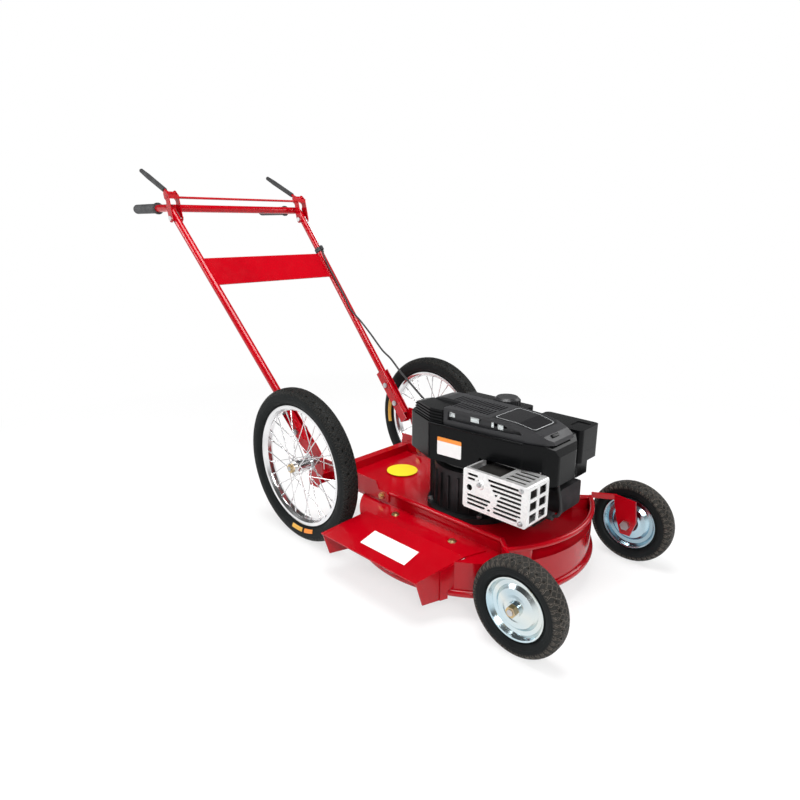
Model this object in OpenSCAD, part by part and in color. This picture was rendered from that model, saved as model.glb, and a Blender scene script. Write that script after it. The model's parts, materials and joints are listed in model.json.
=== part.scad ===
// Push lawn mower with high spoked rear wheels, a round deck with a raised tray, a side
// discharge, a bolted tube handle with a hand bail, and a vertical shaft engine.
// +X is forward, +Y is the operator's left, +Z is up, and the ground is at z = 0.

/* [Rear wheels] */
// Outside diameter of a rear tyre
rear_wheel_d = 404; // [392:2:412]
// Width of a rear tyre
rear_tyre_w = 47; // [40:1:54]
// Distance between the middles of the rear wheels
rear_track = 506; // [496:2:540]
// Outside diameter of a rear rim
rear_rim_d = 317; // [300:1:326]
// Width of a rear rim
rear_rim_w = 30; // [24:1:34]
// Number of spokes in a rear wheel
spoke_count = 28; // [20:4:36]
// Diameter of a spoke
spoke_d = 2.4; // [1.8:0.2:3]
// Length of a rear hub
rear_hub_l = 60; // [56:1:66]
// Diameter of a rear axle
rear_axle_d = 12.7; // [10:0.1:15]

/* [Front wheels] */
// Outside diameter of a front tyre
front_wheel_d = 200; // [180:2:210]
// Width of a front tyre
front_tyre_w = 46; // [38:1:50]
// Distance between the middles of the front wheels
front_track = 486; // [470:2:500]
// Diameter of a front wheel's steel disc
front_disc_d = 128; // [116:1:140]
// Diameter of a front axle bolt
front_axle_d = 12.7; // [10:0.1:15]
// Gap between a front tyre and the deck's bottom bead
front_gap = 10; // [6:1:30]

/* [Deck] */
// Outside diameter of the deck's round skirt
deck_d = 564; // [540:2:580]
// Thickness of the deck's sheet steel
sheet_t = 3; // [2:0.5:4]
// Height of the skirt's lower edge above the ground
ground_gap = 48; // [38:1:60]
// Height of the deck's flat top above the ground
deck_top_z = 128; // [118:1:136]
// Height of the tray's rim above the deck's flat top
tray_rim_h = 36; // [26:1:44]
// Width of the tray between the outsides of its side walls
tray_w = 300; // [280:2:320]
// Diameter of the rolled bead on the tray's rim
rim_bead_d = 12; // [9:0.5:14]
// Diameter of the rolled bead at the bottom of the skirt
skirt_bead_d = 16; // [12:0.5:20]
// Gap between a rear tyre and the deck's skirt
rear_gap = 8; // [5:1:30]

/* [Discharge chute] */
// Distance from the middle of the mower to the chute's outer edge
chute_reach = 330; // [318:2:350]
// Length of the chute's outer edge
chute_l = 300; // [260:5:330]
// Width of the flat part of the chute that lies on the deck
chute_flat_w = 52; // [40:1:64]
// Height of the chute's outer edge above the ground
chute_edge_z = 102; // [92:1:112]
// Angle by which the chute leans back from straight out
chute_lean = 18; // [12:1:22]
// Height of the lower edge of the chute's side flaps above the ground
chute_flap_z = 45; // [38:1:60]

/* [Rear frame] */
// Thickness of the frame's plates
plate_t = 4; // [3:0.5:6]
// Height of the side rails on the tray
rail_h = 46; // [36:1:52]
// Length of the side rails ahead of the rear axle
rail_l = 215; // [180:5:240]

/* [Handle] */
// Diameter of the handle tube
tube_d = 22.2; // [20:0.2:25.4]
// Wall of the handle tube
tube_wall = 1.6; // [1.2:0.2:2.4]
// Height of the handle's grips above the ground
handle_z = 842; // [800:2:900]
// Distance from the rear axle back to the handle's bend
handle_back = 628; // [600:2:680]
// Distance between the tubes at the grips
handle_w = 470; // [430:2:500]
// Length of the level part of a tube behind its bend
handle_level_l = 227; // [210:1:240]
// Length of a rubber grip
grip_l = 148; // [120:1:160]
// Diameter of a rubber grip
grip_d = 29; // [27:0.5:33]
// Width of the cross plate, measured along the tubes
plate_w = 98; // [80:1:120]
// Distance from the bend down the tubes to the cross plate
plate_drop = 196; // [160:1:240]

/* [Bail] */
// Distance from the handle's bend down the tube to the bail's pivot
bail_drop = 41; // [39:1:46]
// Diameter of the bail's cross rod
bail_rod_d = 7; // [5:0.5:8]
// Length of a bail sleeve
bail_sleeve_l = 164; // [140:1:170]
// Diameter of a bail sleeve
bail_sleeve_d = 15; // [12:0.5:16]
// Thickness of a bail strap
strap_t = 2.5; // [2:0.5:3]

/* [Engine] */
// Overall height of the engine above the deck, without its fuel cap
engine_h = 272; // [262:1:280]
// Width of the blower housing
blower_w = 236; // [224:2:244]
// Length of the blower housing
blower_l = 403; // [392:1:412]
// Wall of the engine's plastic covers
cover_t = 3; // [2:0.5:4]
// Number of slots across the top cover
grille_slots = 15; // [9:1:19]
// Length of the muffler guard
guard_l = 160; // [150:1:170]
// Height of the muffler guard
guard_h = 90; // [80:1:96]
// Depth of the muffler guard
guard_w = 78; // [70:1:84]
// Number of fins on the cylinder
fin_count = 9; // [6:1:10]
// Diameter of the fuel cap
fuel_cap_d = 64; // [60:1:76]
// Diameter of the crankshaft
crank_d = 25.4; // [20:0.1:28]
// Length of the cutting blade
blade_l = 526; // [480:2:532]

/* [Fits] */
// Radial clearance of a shaft that turns in a bore
running_gap = 0.05; // [0.03:0.01:0.1]
// Clearance between pieces that are assembled
seat_gap = 0.1; // [0.05:0.05:0.3]

/* [Hidden] */
$fn = 48;
over = 1; // how far a cutter runs past the face that it cuts

// Rear wheels: places
rear_r = rear_wheel_d / 2;
rear_y = rear_track / 2;
rear_inner_y = rear_y - rear_tyre_w / 2;
rim_r = rear_rim_d / 2;
rim_wall = 2;
rim_bed_r = rim_r - 6;
rim_inner_r = rim_r - 14;
hub_half = rear_hub_l / 2;
hub_barrel_d = 24;
hub_flange_d = 42;
hub_flange_t = 3;
hub_flange_y = hub_half - 6;
hub_hole_r = 17;
spoke_sweep = 62;
nipple_d = 4;
nipple_l = 14;
axle_spacer_l = 19;
nut_h = 8;
axle_tail = 2;
axle_end_y = rear_y + hub_half + seat_gap + nut_h + axle_tail;

// Deck: places
deck_r = deck_d / 2;
bead_r = deck_r + skirt_bead_d / 2;
deck_x = sqrt(pow(rear_r, 2) - pow(rear_r - deck_top_z, 2)) + rear_gap
    + sqrt(pow(deck_r, 2) - pow(rear_inner_y, 2));
tray_y = tray_w / 2;
tray_back_x = -10;
tray_top_z = deck_top_z + tray_rim_h;
corner_angle = 38.6;
corner_y = deck_r * sin(corner_angle);
corner_x = deck_x + deck_r * cos(corner_angle);
flare_x = corner_x - 31;
engine_hole_d = 80;
engine_bolt_r = 105.5;

// Front wheels: places
front_r = front_wheel_d / 2;
front_half = front_tyre_w / 2;
front_y = front_track / 2;
front_inner_y = front_y - front_half;
front_x = deck_x + sqrt(pow(bead_r, 2) - pow(front_inner_y, 2)) + front_gap + front_r;
arm_t = 6;
arm_h = 13;
arm_top_z = 168;
arm_plate_y = front_inner_y - 8;
disc_t = 2;
disc_hub_d = 30;

// Rear frame and handle: places
frame_y = rear_y - hub_half - axle_spacer_l;
frame_in_y = frame_y - plate_t;
channel_t = 3;
channel_gap = 0.4;
foot = [-60, frame_in_y - tube_d / 2 - channel_gap - channel_t + 1.5, rear_r + 26];
corner = [-handle_back, handle_w / 2, handle_z];
tube_down = unit(foot - corner);
tube_len = norm(foot - corner);
bend_r = 40;
level = [1, 0, 0];
bend_angle = acos(tube_down * level);
bend_trim = bend_r * tan(bend_angle / 2);
bend_overlap = 1.5;
bend_swell = 0.1;
bend_side = unit(tube_down - level * (tube_down * level));
tube_side = unit([0, 1, 0] - tube_down * tube_down.y);
tube_front = cross(tube_side, -tube_down);
grip_end_x = -handle_back - handle_level_l;
crossbar_x = -handle_back - bend_trim;
bolt_d = 8;
bolt_head_d = 15;
bolt_head_h = 5;
channel_l = 158;
tray_back_z = 150;
channel_low = 20;
bolt_places = [tube_len - 42, tube_len - 108];

// Bail: places
pivot = corner + tube_down * bail_drop;
pivot_d = 8;
strap_gap = 2.8;
strap_half = tube_d / 2 + strap_gap + strap_t;
rod_at = [-13, 60];
boss_at = [-24, 70];
sleeve_from = [-52, 80];
sleeve_angle = 23.3;
lever_d = 8;
bail_travel = 20;
strap_stop_gap = 0.8;

// Engine: places, measured from the crank's axis at the deck's flat top
case_r = 97;
case_h = 118;
base_r = 114;
base_h = 14;
post_at = [-101, 37];
post_d = 16;
shroud_z = 144;
shroud_top_z = 233;
shroud_back = 145;
shroud_left = 111;
shroud_right = blower_w - shroud_left;
shroud_front = blower_l - shroud_back;
cap_at = [44, 60];
tank_top_z = shroud_top_z + 17;
guard_at = [95, -165, 84];
guard_t = 2;
guard_boss = [44, 62];
fin_t = 3;
cylinder_x = 86;
cylinder_l = 94;
cylinder_z = 66;
head_x = cylinder_x + cylinder_l;
head_t = 22;
filter_at = [106, 60, 119];
filter_size = [136, 83, 113];
filter_split_z = 62;
filter_corner = 12;
hinge_d = 8;
hinge_pin_d = 4;
hinge_from = 30;
hinge_l = 76;
hinge_knuckle = 20;
hinge_y = filter_size.y + hinge_d / 2 + 0.6;
cover_in = 6;
cover_left = 12;
cover_windows = [[4, 256, 12], [60, 255, 24], [114, 252, 34]];
recess_deep = 8;
window_in = 86;
window_h = 9;
ribs_x = -8;
block_in = 50;
block_h = 33;
block_grooves = 4;
block_pitch = 7;
nose_l = 18;
lug_l = 12;
grille_pitch = 9;
grille_w = 36;
grille_y = -50;
cup_low = 172;
cup_r = 52;
pull_at = [44, 196];
pull_half = 32;
case_ribs = [120:15:300];
case_rib_t = 4;
case_pad_z = 18;
case_pad_h = 96;
barrel_d = 84;
spigot_d = 65.6;
fin_w = 108;
fin_h = 82;
fin_low = 32;
fin_corner = 10;
valve_at = [-14, 52];
valve_size = [98, 66];
valve_l = 38;
valve_lip = 4;
head_slot_w = 8;
head_slot_pitch = 20;
neck_d = 50;
neck_h = 11;
cap_h = 18;
cap_rib_l = 15;
guard_corner = 7;
slot_h = 5.4;
slot_gap_x = 80;
guard_window = 78;
rear_blocks = 44;
front_blocks = 34;

// Chute and rails: places
chute_x = deck_x - 190;
chute_inner_y = tray_y + 16;
chute_bend_y = chute_inner_y + chute_flat_w;
chute_bolts = [[deck_x - 92, -chute_inner_y - 16], [deck_x + 86, -chute_inner_y - 20]];
chute_bolt_d = 8;
flap_inset = 0.5;
flap_start = 2;
rail_base_z = deck_top_z + 6;
rail_top_z = rail_base_z + rail_h;
rail_bolts = [40, rail_l - 22];
rail_bolt_z = rail_base_z + 12;

// Cable: places
anchor_at = 184;
cable_d = 5.5;
wire_d = 2;
cable_ahead = 14;
// Distances down the tube, and how far the cable stands in from it there
wire_points = [for (s = [41.5, 108, 175.6]) beside_tube(s, 0)];
held_points = [for (p = [[192.6, 0], [217.3, -5.5], [262, -9], [322, -8.5], [395, -7.3], [444, -9.6]])
    beside_tube(p[0], p[1])];
// Where the cable meets its lug, and its bow off the straight line to there, by the share of the way gone
lug_end = [deck_x - shroud_back - lug_l - 1.8, 16, deck_top_z + 214];
free_bow = [
    [0.127, 7.4, -6.6], [0.254, 14.8, -17.2], [0.382, 20.2, -28.8], [0.497, 19.5, -22.5],
    [0.624, 14.8, -21.2], [0.786, 8.6, -13.4], [0.931, 1.3, -3.7], [1, 0, 0]];
jacket_points = concat(held_points, [for (p = free_bow)
    held_points[5] + (lug_end - held_points[5]) * p[0] + [0, p[1], p[2]]]);

// Engine pieces: places
tank_half_l = 95;
tank_low_y = 64;
tank_side_y = 106;
tank_top_y = 16;
plug_at = [head_x + head_t, -36, 62];
plug_lead_points = [[602, -36, 192], [612, -36, 197], [617, -35, 212], [610, -31, 240], [598, -27, 274]];
tube_low = [-15, 92, 26];
tube_high = [-15, 134, 150];
tube_way = unit(tube_high - tube_low);
flywheel_z = 124;
blade_bolt_d = 10;
blade_z = -50;
blade_t = 4;
crank_low = blade_z + blade_t + seat_gap;

// The ground point midway between the ends and sides of the whole mower
middle_x = (front_x + front_r + grip_end_x) / 2;
middle_y = (axle_end_y - chute_reach) / 2;

function unit(v) = v / norm(v);

// A point of the cable where it runs along the left tube
function beside_tube(s, across) = corner + tube_down * s + unit([-tube_down.z, 0, tube_down.x]) * cable_ahead
    + [0, across, 0];

// Places the finished mower over the origin
module seat() {
    translate([-middle_x, -middle_y, 0]) children();
}

// Places engine parts on the deck, on the crank's axis
module on_deck() {
    translate([deck_x, 0, deck_top_z]) children();
}

// Repeats left-hand children on the right
module both() {
    children();
    mirror([0, 1, 0]) children();
}

// Turns children so that their x and z axes point along the given unit vectors
module basis(origin, x_axis, z_axis) {
    y_axis = cross(z_axis, x_axis);
    multmatrix([
        [x_axis.x, y_axis.x, z_axis.x, origin.x],
        [x_axis.y, y_axis.y, z_axis.y, origin.y],
        [x_axis.z, y_axis.z, z_axis.z, origin.z],
        [0, 0, 0, 1]]) children();
}

// Stands children on the left tube, a distance down from its bend, z up the tube
module on_tube(distance) {
    basis(corner + tube_down * distance, tube_front, -tube_down) children();
}

// Round bar between two points
module rod(from, to, d) {
    way = to - from;
    translate(from)
        rotate([0, acos(way.z / norm(way)), atan2(way.y, way.x)])
            cylinder(d = d, h = norm(way));
}

// Round bar along y, centred
module cross_pin(at, d, l) {
    translate(at) rotate([90, 0, 0]) cylinder(d = d, h = l, center = true);
}

// Upright hexagon nut or bolt head whose axis runs along y
module hex_y(at, across, h) {
    translate(at) rotate([90, 0, 0]) cylinder(d = across / cos(30), h = h, center = true, $fn = 6);
}

// Plate drawn in x and z, standing between two y values
module side_plate(y_from, t) {
    translate([0, y_from + t, 0]) rotate([90, 0, 0]) linear_extrude(t) children();
}

// Wheel parts: drawn about z, with +z towards the outside of the mower
module on_wheel(x, y, z) {
    translate([x, y, z]) rotate([-90, 0, 0]) children();
}

// Square with rounded corners
module soft_square(size, r) {
    translate([r, r]) offset(r = r, $fn = 24) square([size.x - 2 * r, size.y - 2 * r]);
}

// Outline with rounded corners
module soften(r) {
    offset(r = r, $fn = 24) offset(delta = -r) children();
}

// Half-round tyre section between two radii, its foot set between the rim's flanges
module tyre_section(r_in, r_out, half_w, foot_r, foot_half, power) {
    mid = (r_in + r_out) / 2;
    half_h = (r_out - r_in) / 2;
    steps = 20;
    bulge = [for (i = [0:steps])
        let (a = -150 + 300 * i / steps,
            c = cos(a),
            s = sin(a))
        [mid + half_h * sign(c) * pow(abs(c), power), half_w * sign(s) * pow(abs(s), power)]];
    polygon(concat([[foot_r, foot_half], [foot_r, -foot_half]], bulge));
}

// Shoulder blocks of a tread, cut as notches that turn with the wheel
module tread_notches(count, r, half_w, deep, wide, long) {
    for (i = [0:count - 1], side = [-1, 1])
        rotate((i + (side > 0 ? 0.5 : 0)) * 360 / count + 90 / count)
            translate([r - deep, -wide / 2, side > 0 ? half_w - long : -half_w - over])
                cube([deep + over, wide, long + over]);
}

module rear_tyre() {
    difference() {
        rotate_extrude() tyre_section(rim_r + 1, rear_r, rear_tyre_w / 2, rim_bed_r + seat_gap,
            rear_rim_w / 2 - rim_wall - 1, 0.82);
        tread_notches(rear_blocks, rear_r, rear_tyre_w / 2, 4, 7, 13);
    }
}

module rear_rim() {
    half = rear_rim_w / 2;
    rotate_extrude() polygon([
        [rim_r, -half], [rim_r, rim_wall - half], [rim_bed_r, rim_wall - half],
        [rim_bed_r, half - rim_wall], [rim_r, half - rim_wall], [rim_r, half],
        [rim_r - 3, half + 0.6], [rim_bed_r - rim_wall, half - 0.8],
        [rim_inner_r + 1, half / 2], [rim_inner_r, half / 2 - 2],
        [rim_inner_r, 2 - half / 2], [rim_inner_r + 1, -half / 2],
        [rim_bed_r - rim_wall, 0.8 - half], [rim_r - 3, -half - 0.6]]);
}

// Spokes leave each flange in crossed pairs, the leading ones from its outer face
module rear_spokes() {
    pairs = spoke_count / 4;
    rim_end = rim_inner_r - 0.4;
    for (side = [-1, 1], i = [0:pairs - 1], lead = [-1, 1]) {
        rim_a = 360 / pairs * (i + (lead > 0 ? 0 : 0.5) + (side > 0 ? 0 : 0.25));
        hub_a = rim_a + lead * spoke_sweep;
        face = hub_flange_t / 2 + spoke_d / 2 + (lead > 0 ? 1.2 : 0.1);
        hub_end = [hub_hole_r * cos(hub_a), hub_hole_r * sin(hub_a), side * (hub_flange_y + lead * face)];
        rim_end_at = [rim_end * cos(rim_a), rim_end * sin(rim_a), side * 3];
        nipple_at = rim_end_at + unit(hub_end - rim_end_at) * nipple_l;
        rod(hub_end, rim_end_at + unit(hub_end - rim_end_at) * over, spoke_d);
        rod(nipple_at, rim_end_at, nipple_d);
    }
}

module rear_hub() {
    bore = rear_axle_d + 2 * running_gap;
    difference() {
        union() {
            cylinder(d = hub_barrel_d, h = rear_hub_l, center = true);
            for (side = [-1, 1])
                translate([0, 0, side * hub_flange_y])
                    cylinder(d = hub_flange_d, h = hub_flange_t, center = true);
            cylinder(d = hub_barrel_d + 6, h = 2 * hub_flange_y - 12, center = true);
        }
        cylinder(d = bore, h = rear_hub_l + 2 * over, center = true);
    }
}

module front_tyre() {
    difference() {
        rotate_extrude() tyre_section(front_disc_d / 2 + 1, front_r, front_half,
            front_disc_d / 2 + seat_gap, front_half - 8, 0.7);
        tread_notches(front_blocks, front_r, front_half, 3, 5, 12);
    }
}

// Two pressed discs on one hub, each with a rolled edge and a stepped dish
module front_disc() {
    edge = front_disc_d / 2;
    dish = [
        [disc_hub_d / 2 + 8, front_half - 7], [disc_hub_d / 2 + 13, front_half - 9],
        [edge - 24, front_half - 10], [edge - 17, front_half - 16],
        [edge - 9, front_half - 15], [edge - 3, front_half - 6], [edge, front_half - 5]];
    back = [for (i = [len(dish) - 1:-1:0]) [dish[i].x, dish[i].y - disc_t]];
    difference() {
        union() {
            for (side = [0, 1])
                mirror([0, 0, side]) {
                    rotate_extrude() polygon(concat([[disc_hub_d / 2 - 1, front_half - 7]], dish, back,
                        [[disc_hub_d / 2 - 1, front_half - 7 - disc_t]]));
                }
            rotate_extrude() translate([edge - disc_t, 6 - front_half])
                square([disc_t, front_tyre_w - 12]);
            cylinder(d = disc_hub_d, h = front_tyre_w - 2, center = true);
        }
        cylinder(d = front_axle_d + 2 * running_gap, h = front_tyre_w + 2 * over, center = true);
    }
}

// Plan of the tray: straight sides, a flare, and a front that follows the round skirt
module tray_plan(inset) {
    far = 60;
    slope = (corner_y - tray_y) / (corner_x - flare_x);
    half = tray_y - inset;
    far_half = half + slope * far;
    intersection() {
        polygon([
            [tray_back_x, -half], [flare_x, -half], [flare_x + far, -far_half],
            [flare_x + far, far_half], [flare_x, half], [tray_back_x, half]]);
        union() {
            translate([deck_x, 0]) circle(r = deck_r - inset, $fn = 96);
            translate([tray_back_x, -deck_r]) square([deck_x - tray_back_x, 2 * deck_r]);
        }
    }
}

// Plan of the chute, widened by a margin, with its ends sheared back
module chute_plan(inner_y, margin) {
    x_out = chute_x - margin;
    shift = tan(chute_lean);
    polygon([
        [x_out, -chute_reach], [x_out + chute_l + 2 * margin, -chute_reach],
        [x_out + chute_l + 2 * margin + shift * (chute_reach - inner_y), -inner_y],
        [x_out + shift * (chute_reach - inner_y), -inner_y]]);
}

module deck_shell() {
    color("firebrick") seat() {
        difference() {
            union() {
                translate([deck_x, 0, ground_gap + skirt_bead_d / 2]) {
                    difference() {
                        cylinder(r = deck_r, h = deck_top_z - ground_gap - skirt_bead_d / 2, $fn = 96);
                        translate([0, 0, -over])
                            cylinder(r = deck_r - sheet_t, $fn = 96,
                                h = deck_top_z - sheet_t - ground_gap - skirt_bead_d / 2 + over);
                    }
                }
                translate([0, 0, deck_top_z - sheet_t]) linear_extrude(sheet_t) tray_plan(0);
                translate([0, 0, deck_top_z - sheet_t]) linear_extrude(tray_rim_h - rim_bead_d / 2 + sheet_t)
                    difference() {
                        tray_plan(0);
                        tray_plan(sheet_t);
                        translate([tray_back_x - over, -tray_y + sheet_t])
                            square([2 * sheet_t, tray_w - 2 * sheet_t]);
                    }
            }
            translate([deck_x, 0, deck_top_z - sheet_t - over])
                cylinder(d = engine_hole_d, h = sheet_t + 2 * over);
            for (a = [45:90:315])
                translate([deck_x, 0, deck_top_z - sheet_t - over]) rotate(a) translate([engine_bolt_r, 0])
                    cylinder(d = bolt_d + 2 * seat_gap, h = sheet_t + 2 * over);
            for (at = chute_bolts)
                translate([at.x, at.y, deck_top_z - sheet_t - over])
                    cylinder(d = chute_bolt_d + 2 * seat_gap, h = sheet_t + 2 * over);
            for (x = rail_bolts)
                cross_pin([x, 0, rail_bolt_z], bolt_d + 2 * seat_gap, tray_w + 2 * over);
            translate([0, 0, ground_gap + skirt_bead_d + 2]) linear_extrude(deck_top_z)
                chute_plan(chute_bend_y - 2, 3);
        }
        skirt_bead();
        rim_bead();
    }
}

module skirt_bead() {
    translate([deck_x, 0, ground_gap + skirt_bead_d / 2])
        rotate_extrude($fn = 96) translate([deck_r, 0]) circle(d = skirt_bead_d, $fn = 24);
}

// Rolled edge of the tray: straight beside the rails' ends, then the flare and the round front
module rim_bead() {
    z = tray_top_z - rim_bead_d / 2;
    mid = sheet_t / 2;
    both() {
        rod([rail_l + 3, tray_y - mid, z], [flare_x, tray_y - mid, z], rim_bead_d);
        rod([flare_x, tray_y - mid, z], [corner_x, corner_y - mid, z], rim_bead_d);
        translate([flare_x, tray_y - mid, z]) sphere(d = rim_bead_d + 0.6, $fn = 24);
        translate([corner_x - 1, corner_y - mid, z]) sphere(d = rim_bead_d + 1, $fn = 24);
    }
    translate([deck_x, 0, z])
        rotate([0, 0, -corner_angle])
            rotate_extrude(angle = 2 * corner_angle, $fn = 96)
                translate([deck_r - mid, 0]) circle(d = rim_bead_d, $fn = 24);
}

module deck_bolts() {
    color("silver") seat() {
        for (at = chute_bolts)
            translate([at.x, at.y, deck_top_z - sheet_t - 6]) {
                cylinder(d = chute_bolt_d, h = 6 + 2 * sheet_t + 3);
                translate([0, 0, 6 + 2 * sheet_t + seat_gap]) cylinder(d1 = 20, d2 = 12, h = 4);
                translate([0, 0, 6 - 5 - seat_gap]) cylinder(d = 15, h = 5, $fn = 6);
            }
        both() for (x = rail_bolts) {
            cross_pin([x, tray_y + plate_t / 2, rail_bolt_z], bolt_d, 2 * sheet_t + plate_t + 12);
            hex_y([x, tray_y + plate_t + seat_gap + bolt_head_h / 2, rail_bolt_z], bolt_head_d, bolt_head_h);
            hex_y([x, tray_y - sheet_t - seat_gap - bolt_head_h / 2, rail_bolt_z], bolt_head_d, bolt_head_h);
        }
    }
}

// Bent sheet: a flat flange on the deck, a slope outwards, and a flap down each end
module discharge_chute() {
    drop = deck_top_z + sheet_t - chute_edge_z;
    flap_y = 264;
    color("firebrick") seat() {
        difference() {
            intersection() {
                translate([chute_x - 2 * chute_l, 0, 0]) rotate([90, 0, 90]) linear_extrude(5 * chute_l)
                    polygon([
                        [-chute_inner_y, deck_top_z + seat_gap],
                        [-chute_inner_y, deck_top_z + sheet_t],
                        [-chute_bend_y, deck_top_z + sheet_t],
                        [-chute_reach, chute_edge_z],
                        [-chute_reach, chute_edge_z - sheet_t],
                        [-chute_bend_y + 0.7, deck_top_z + seat_gap]]);
                linear_extrude(2 * deck_top_z) chute_plan(chute_inner_y, 0);
            }
            for (at = chute_bolts)
                translate([at.x, at.y, deck_top_z - over])
                    cylinder(d = chute_bolt_d + 2 * seat_gap, h = sheet_t + 2 * over);
        }
        for (end = [0, 1])
            translate([chute_x + end * chute_l, -chute_reach, 0])
                rotate([0, 0, 90 - chute_lean])
                    translate([0, end == 0 ? -flap_inset : sheet_t + flap_inset, 0])
                        rotate([90, 0, 0])
                            linear_extrude(sheet_t)
                                chute_flap((chute_reach - flap_y) / cos(chute_lean), drop);
    }
}

// One end flap, drawn from the chute's outer edge inwards
module chute_flap(long, drop) {
    slope = drop / (chute_reach - chute_bend_y) * cos(chute_lean);
    polygon([
        [flap_start, chute_edge_z - sheet_t / 2], [18, chute_flap_z], [long, chute_flap_z],
        [long, chute_edge_z - 1 + slope * long], [flap_start, chute_edge_z - 1 + slope * flap_start]]);
}

// Welded frame: a cross member, two side plates, two rails and two handle channels
module rear_frame() {
    color("firebrick") seat() {
        translate([-35, -frame_y, tray_back_z - plate_t]) cube([25, 2 * frame_y, plate_t]);
        translate([tray_back_x - 4, -frame_y, deck_top_z - sheet_t])
            cube([3.9, 2 * frame_y, tray_back_z - deck_top_z + sheet_t]);
        both() {
            difference() {
                side_plate(frame_in_y, plate_t) side_plate_outline();
                cross_pin([0, frame_y, rear_r], rear_axle_d + 2 * seat_gap, 6 * plate_t);
            }
            difference() {
                side_plate(tray_y + seat_gap, plate_t) rail_outline();
                for (x = rail_bolts)
                    cross_pin([x, tray_y, rail_bolt_z], bolt_d + 2 * seat_gap, 6 * plate_t);
            }
            handle_channel();
        }
    }
}

module side_plate_outline() {
    polygon([
        [-50, 214], [-56, 246], [-6, 246], [22, 216], [22, 176], [-2, 122],
        [-38, 122], [-38, 190]]);
}

module rail_outline() {
    polygon([
        [-35, rail_base_z], [rail_l, rail_base_z], [rail_l, rail_base_z + 20],
        [rail_l - 6, rail_base_z + 26], [rail_l - 34, rail_base_z + 26],
        [rail_l - 44, rail_top_z], [-35, rail_top_z]]);
}

// Channel that cups the foot of a handle tube
module handle_channel() {
    half_in = tube_d / 2 + channel_gap;
    wall = channel_t;
    difference() {
        on_tube(tube_len + channel_low) linear_extrude(channel_l + channel_low)
            difference() {
                translate([-half_in - wall, -half_in - wall])
                    square([2 * half_in + wall, 2 * (half_in + wall)]);
                translate([-half_in, -half_in]) square([2 * half_in + over, 2 * half_in]);
            }
        for (s = bolt_places) on_tube(s) cross_pin([0, 0, 0], bolt_d + 2 * seat_gap, tube_d * 3);
        translate([-200, frame_in_y + 0.5, 0]) cube([300, 30, foot.z + 14]);
    }
}

module front_arms() {
    top = arm_top_z;
    color("firebrick") seat() both() {
        start = [corner_x - 1, corner_y + 5.2];
        end = [front_x - 30, arm_plate_y];
        way = unit(end - start);
        side = [-way.y, way.x];
        translate([0, 0, top - arm_h]) linear_extrude(arm_h) polygon([
            start, end, end + side * arm_t, start + side * arm_t]);
        difference() {
            side_plate(arm_plate_y - arm_t / 2, arm_t) arm_plate_outline();
            cross_pin([front_x, arm_plate_y, front_r], front_axle_d + 2 * seat_gap, 4 * arm_t);
        }
    }
}

module arm_plate_outline() {
    low = front_r - 26;
    polygon([
        [front_x - 34, arm_top_z - arm_h], [front_x - 34, arm_top_z],
        [front_x + 18, arm_top_z - 4], [front_x + 24, front_r + 10],
        [front_x + 12, low], [front_x - 12, low], [front_x - 24, front_r + 8]]);
}

module front_axles() {
    inner = arm_plate_y - arm_t / 2;
    outer = front_y + front_half - 1;
    color("silver") seat() both() {
        rod([front_x, inner - bolt_head_h, front_r], [front_x, outer + seat_gap + nut_h + axle_tail, front_r],
            front_axle_d);
        hex_y([front_x, inner - seat_gap - 4, front_r], 20, 8);
        difference() {
            rod([front_x, arm_plate_y + arm_t / 2 + seat_gap, front_r],
                [front_x, front_inner_y + 1 - seat_gap, front_r], 20);
            cross_pin([front_x, front_inner_y, front_r], front_axle_d - 1, 60);
        }
    }
}

module rear_axles() {
    color("silver") seat() both() {
        rod([0, frame_in_y - 6, rear_r], [0, axle_end_y, rear_r], rear_axle_d);
        hex_y([0, frame_in_y - seat_gap - 4, rear_r], 20, 8);
        rod([0, frame_y + seat_gap, rear_r], [0, frame_y + axle_spacer_l - seat_gap, rear_r], 22);
    }
}

module axle_nuts() {
    color("darkgoldenrod") seat() both() {
        axle_nut([0, rear_y + hub_half + seat_gap + nut_h / 2, rear_r], rear_axle_d);
        axle_nut([front_x, front_y + front_half - 1 + seat_gap + nut_h / 2, front_r], front_axle_d);
    }
}

module axle_nut(at, bore) {
    difference() {
        hex_y(at, 20, nut_h);
        cross_pin(at, bore + 2 * seat_gap, nut_h + 2 * over);
    }
}

// Solid path of the left tube, foot to grip, at any diameter; a tail makes both ends longer.
// The straight lengths run a little way into the bend, which is a hair thicker.
module tube_path(d, tail = 0) {
    up = -bend_side;
    turned = up * cos(bend_angle) + level * sin(bend_angle);
    straight_in = bend_trim - bend_overlap;
    basis(corner - level * straight_in, up, -level)
        linear_extrude(handle_level_l - straight_in + tail) circle(d = d);
    basis(corner - level * bend_trim - up * bend_r, up, cross(up, level))
        rotate_extrude(angle = bend_angle, $fn = 96) translate([bend_r, 0]) circle(d = d + bend_swell);
    basis(corner + tube_down * straight_in, turned, tube_down)
        linear_extrude(tube_len - straight_in + tail) circle(d = d);
}

module handle_tube() {
    difference() {
        tube_path(tube_d);
        tube_path(tube_d - 2 * tube_wall, over);
        for (s = bolt_places) on_tube(s) cross_pin([0, 0, 0], bolt_d + 2 * seat_gap, 2 * tube_d);
        cross_pin(pivot, pivot_d + 2 * seat_gap, 2 * tube_d);
    }
}

module handle_tube_left() {
    color("firebrick") seat() handle_tube();
}

module handle_tube_right() {
    color("firebrick") seat() mirror([0, 1, 0]) handle_tube();
}

module handle_crossbar() {
    color("firebrick") seat() difference() {
        cross_pin([crossbar_x, 0, handle_z], tube_d, handle_w - 8);
        both() tube_path(tube_d + 2 * seat_gap);
    }
}

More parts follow.
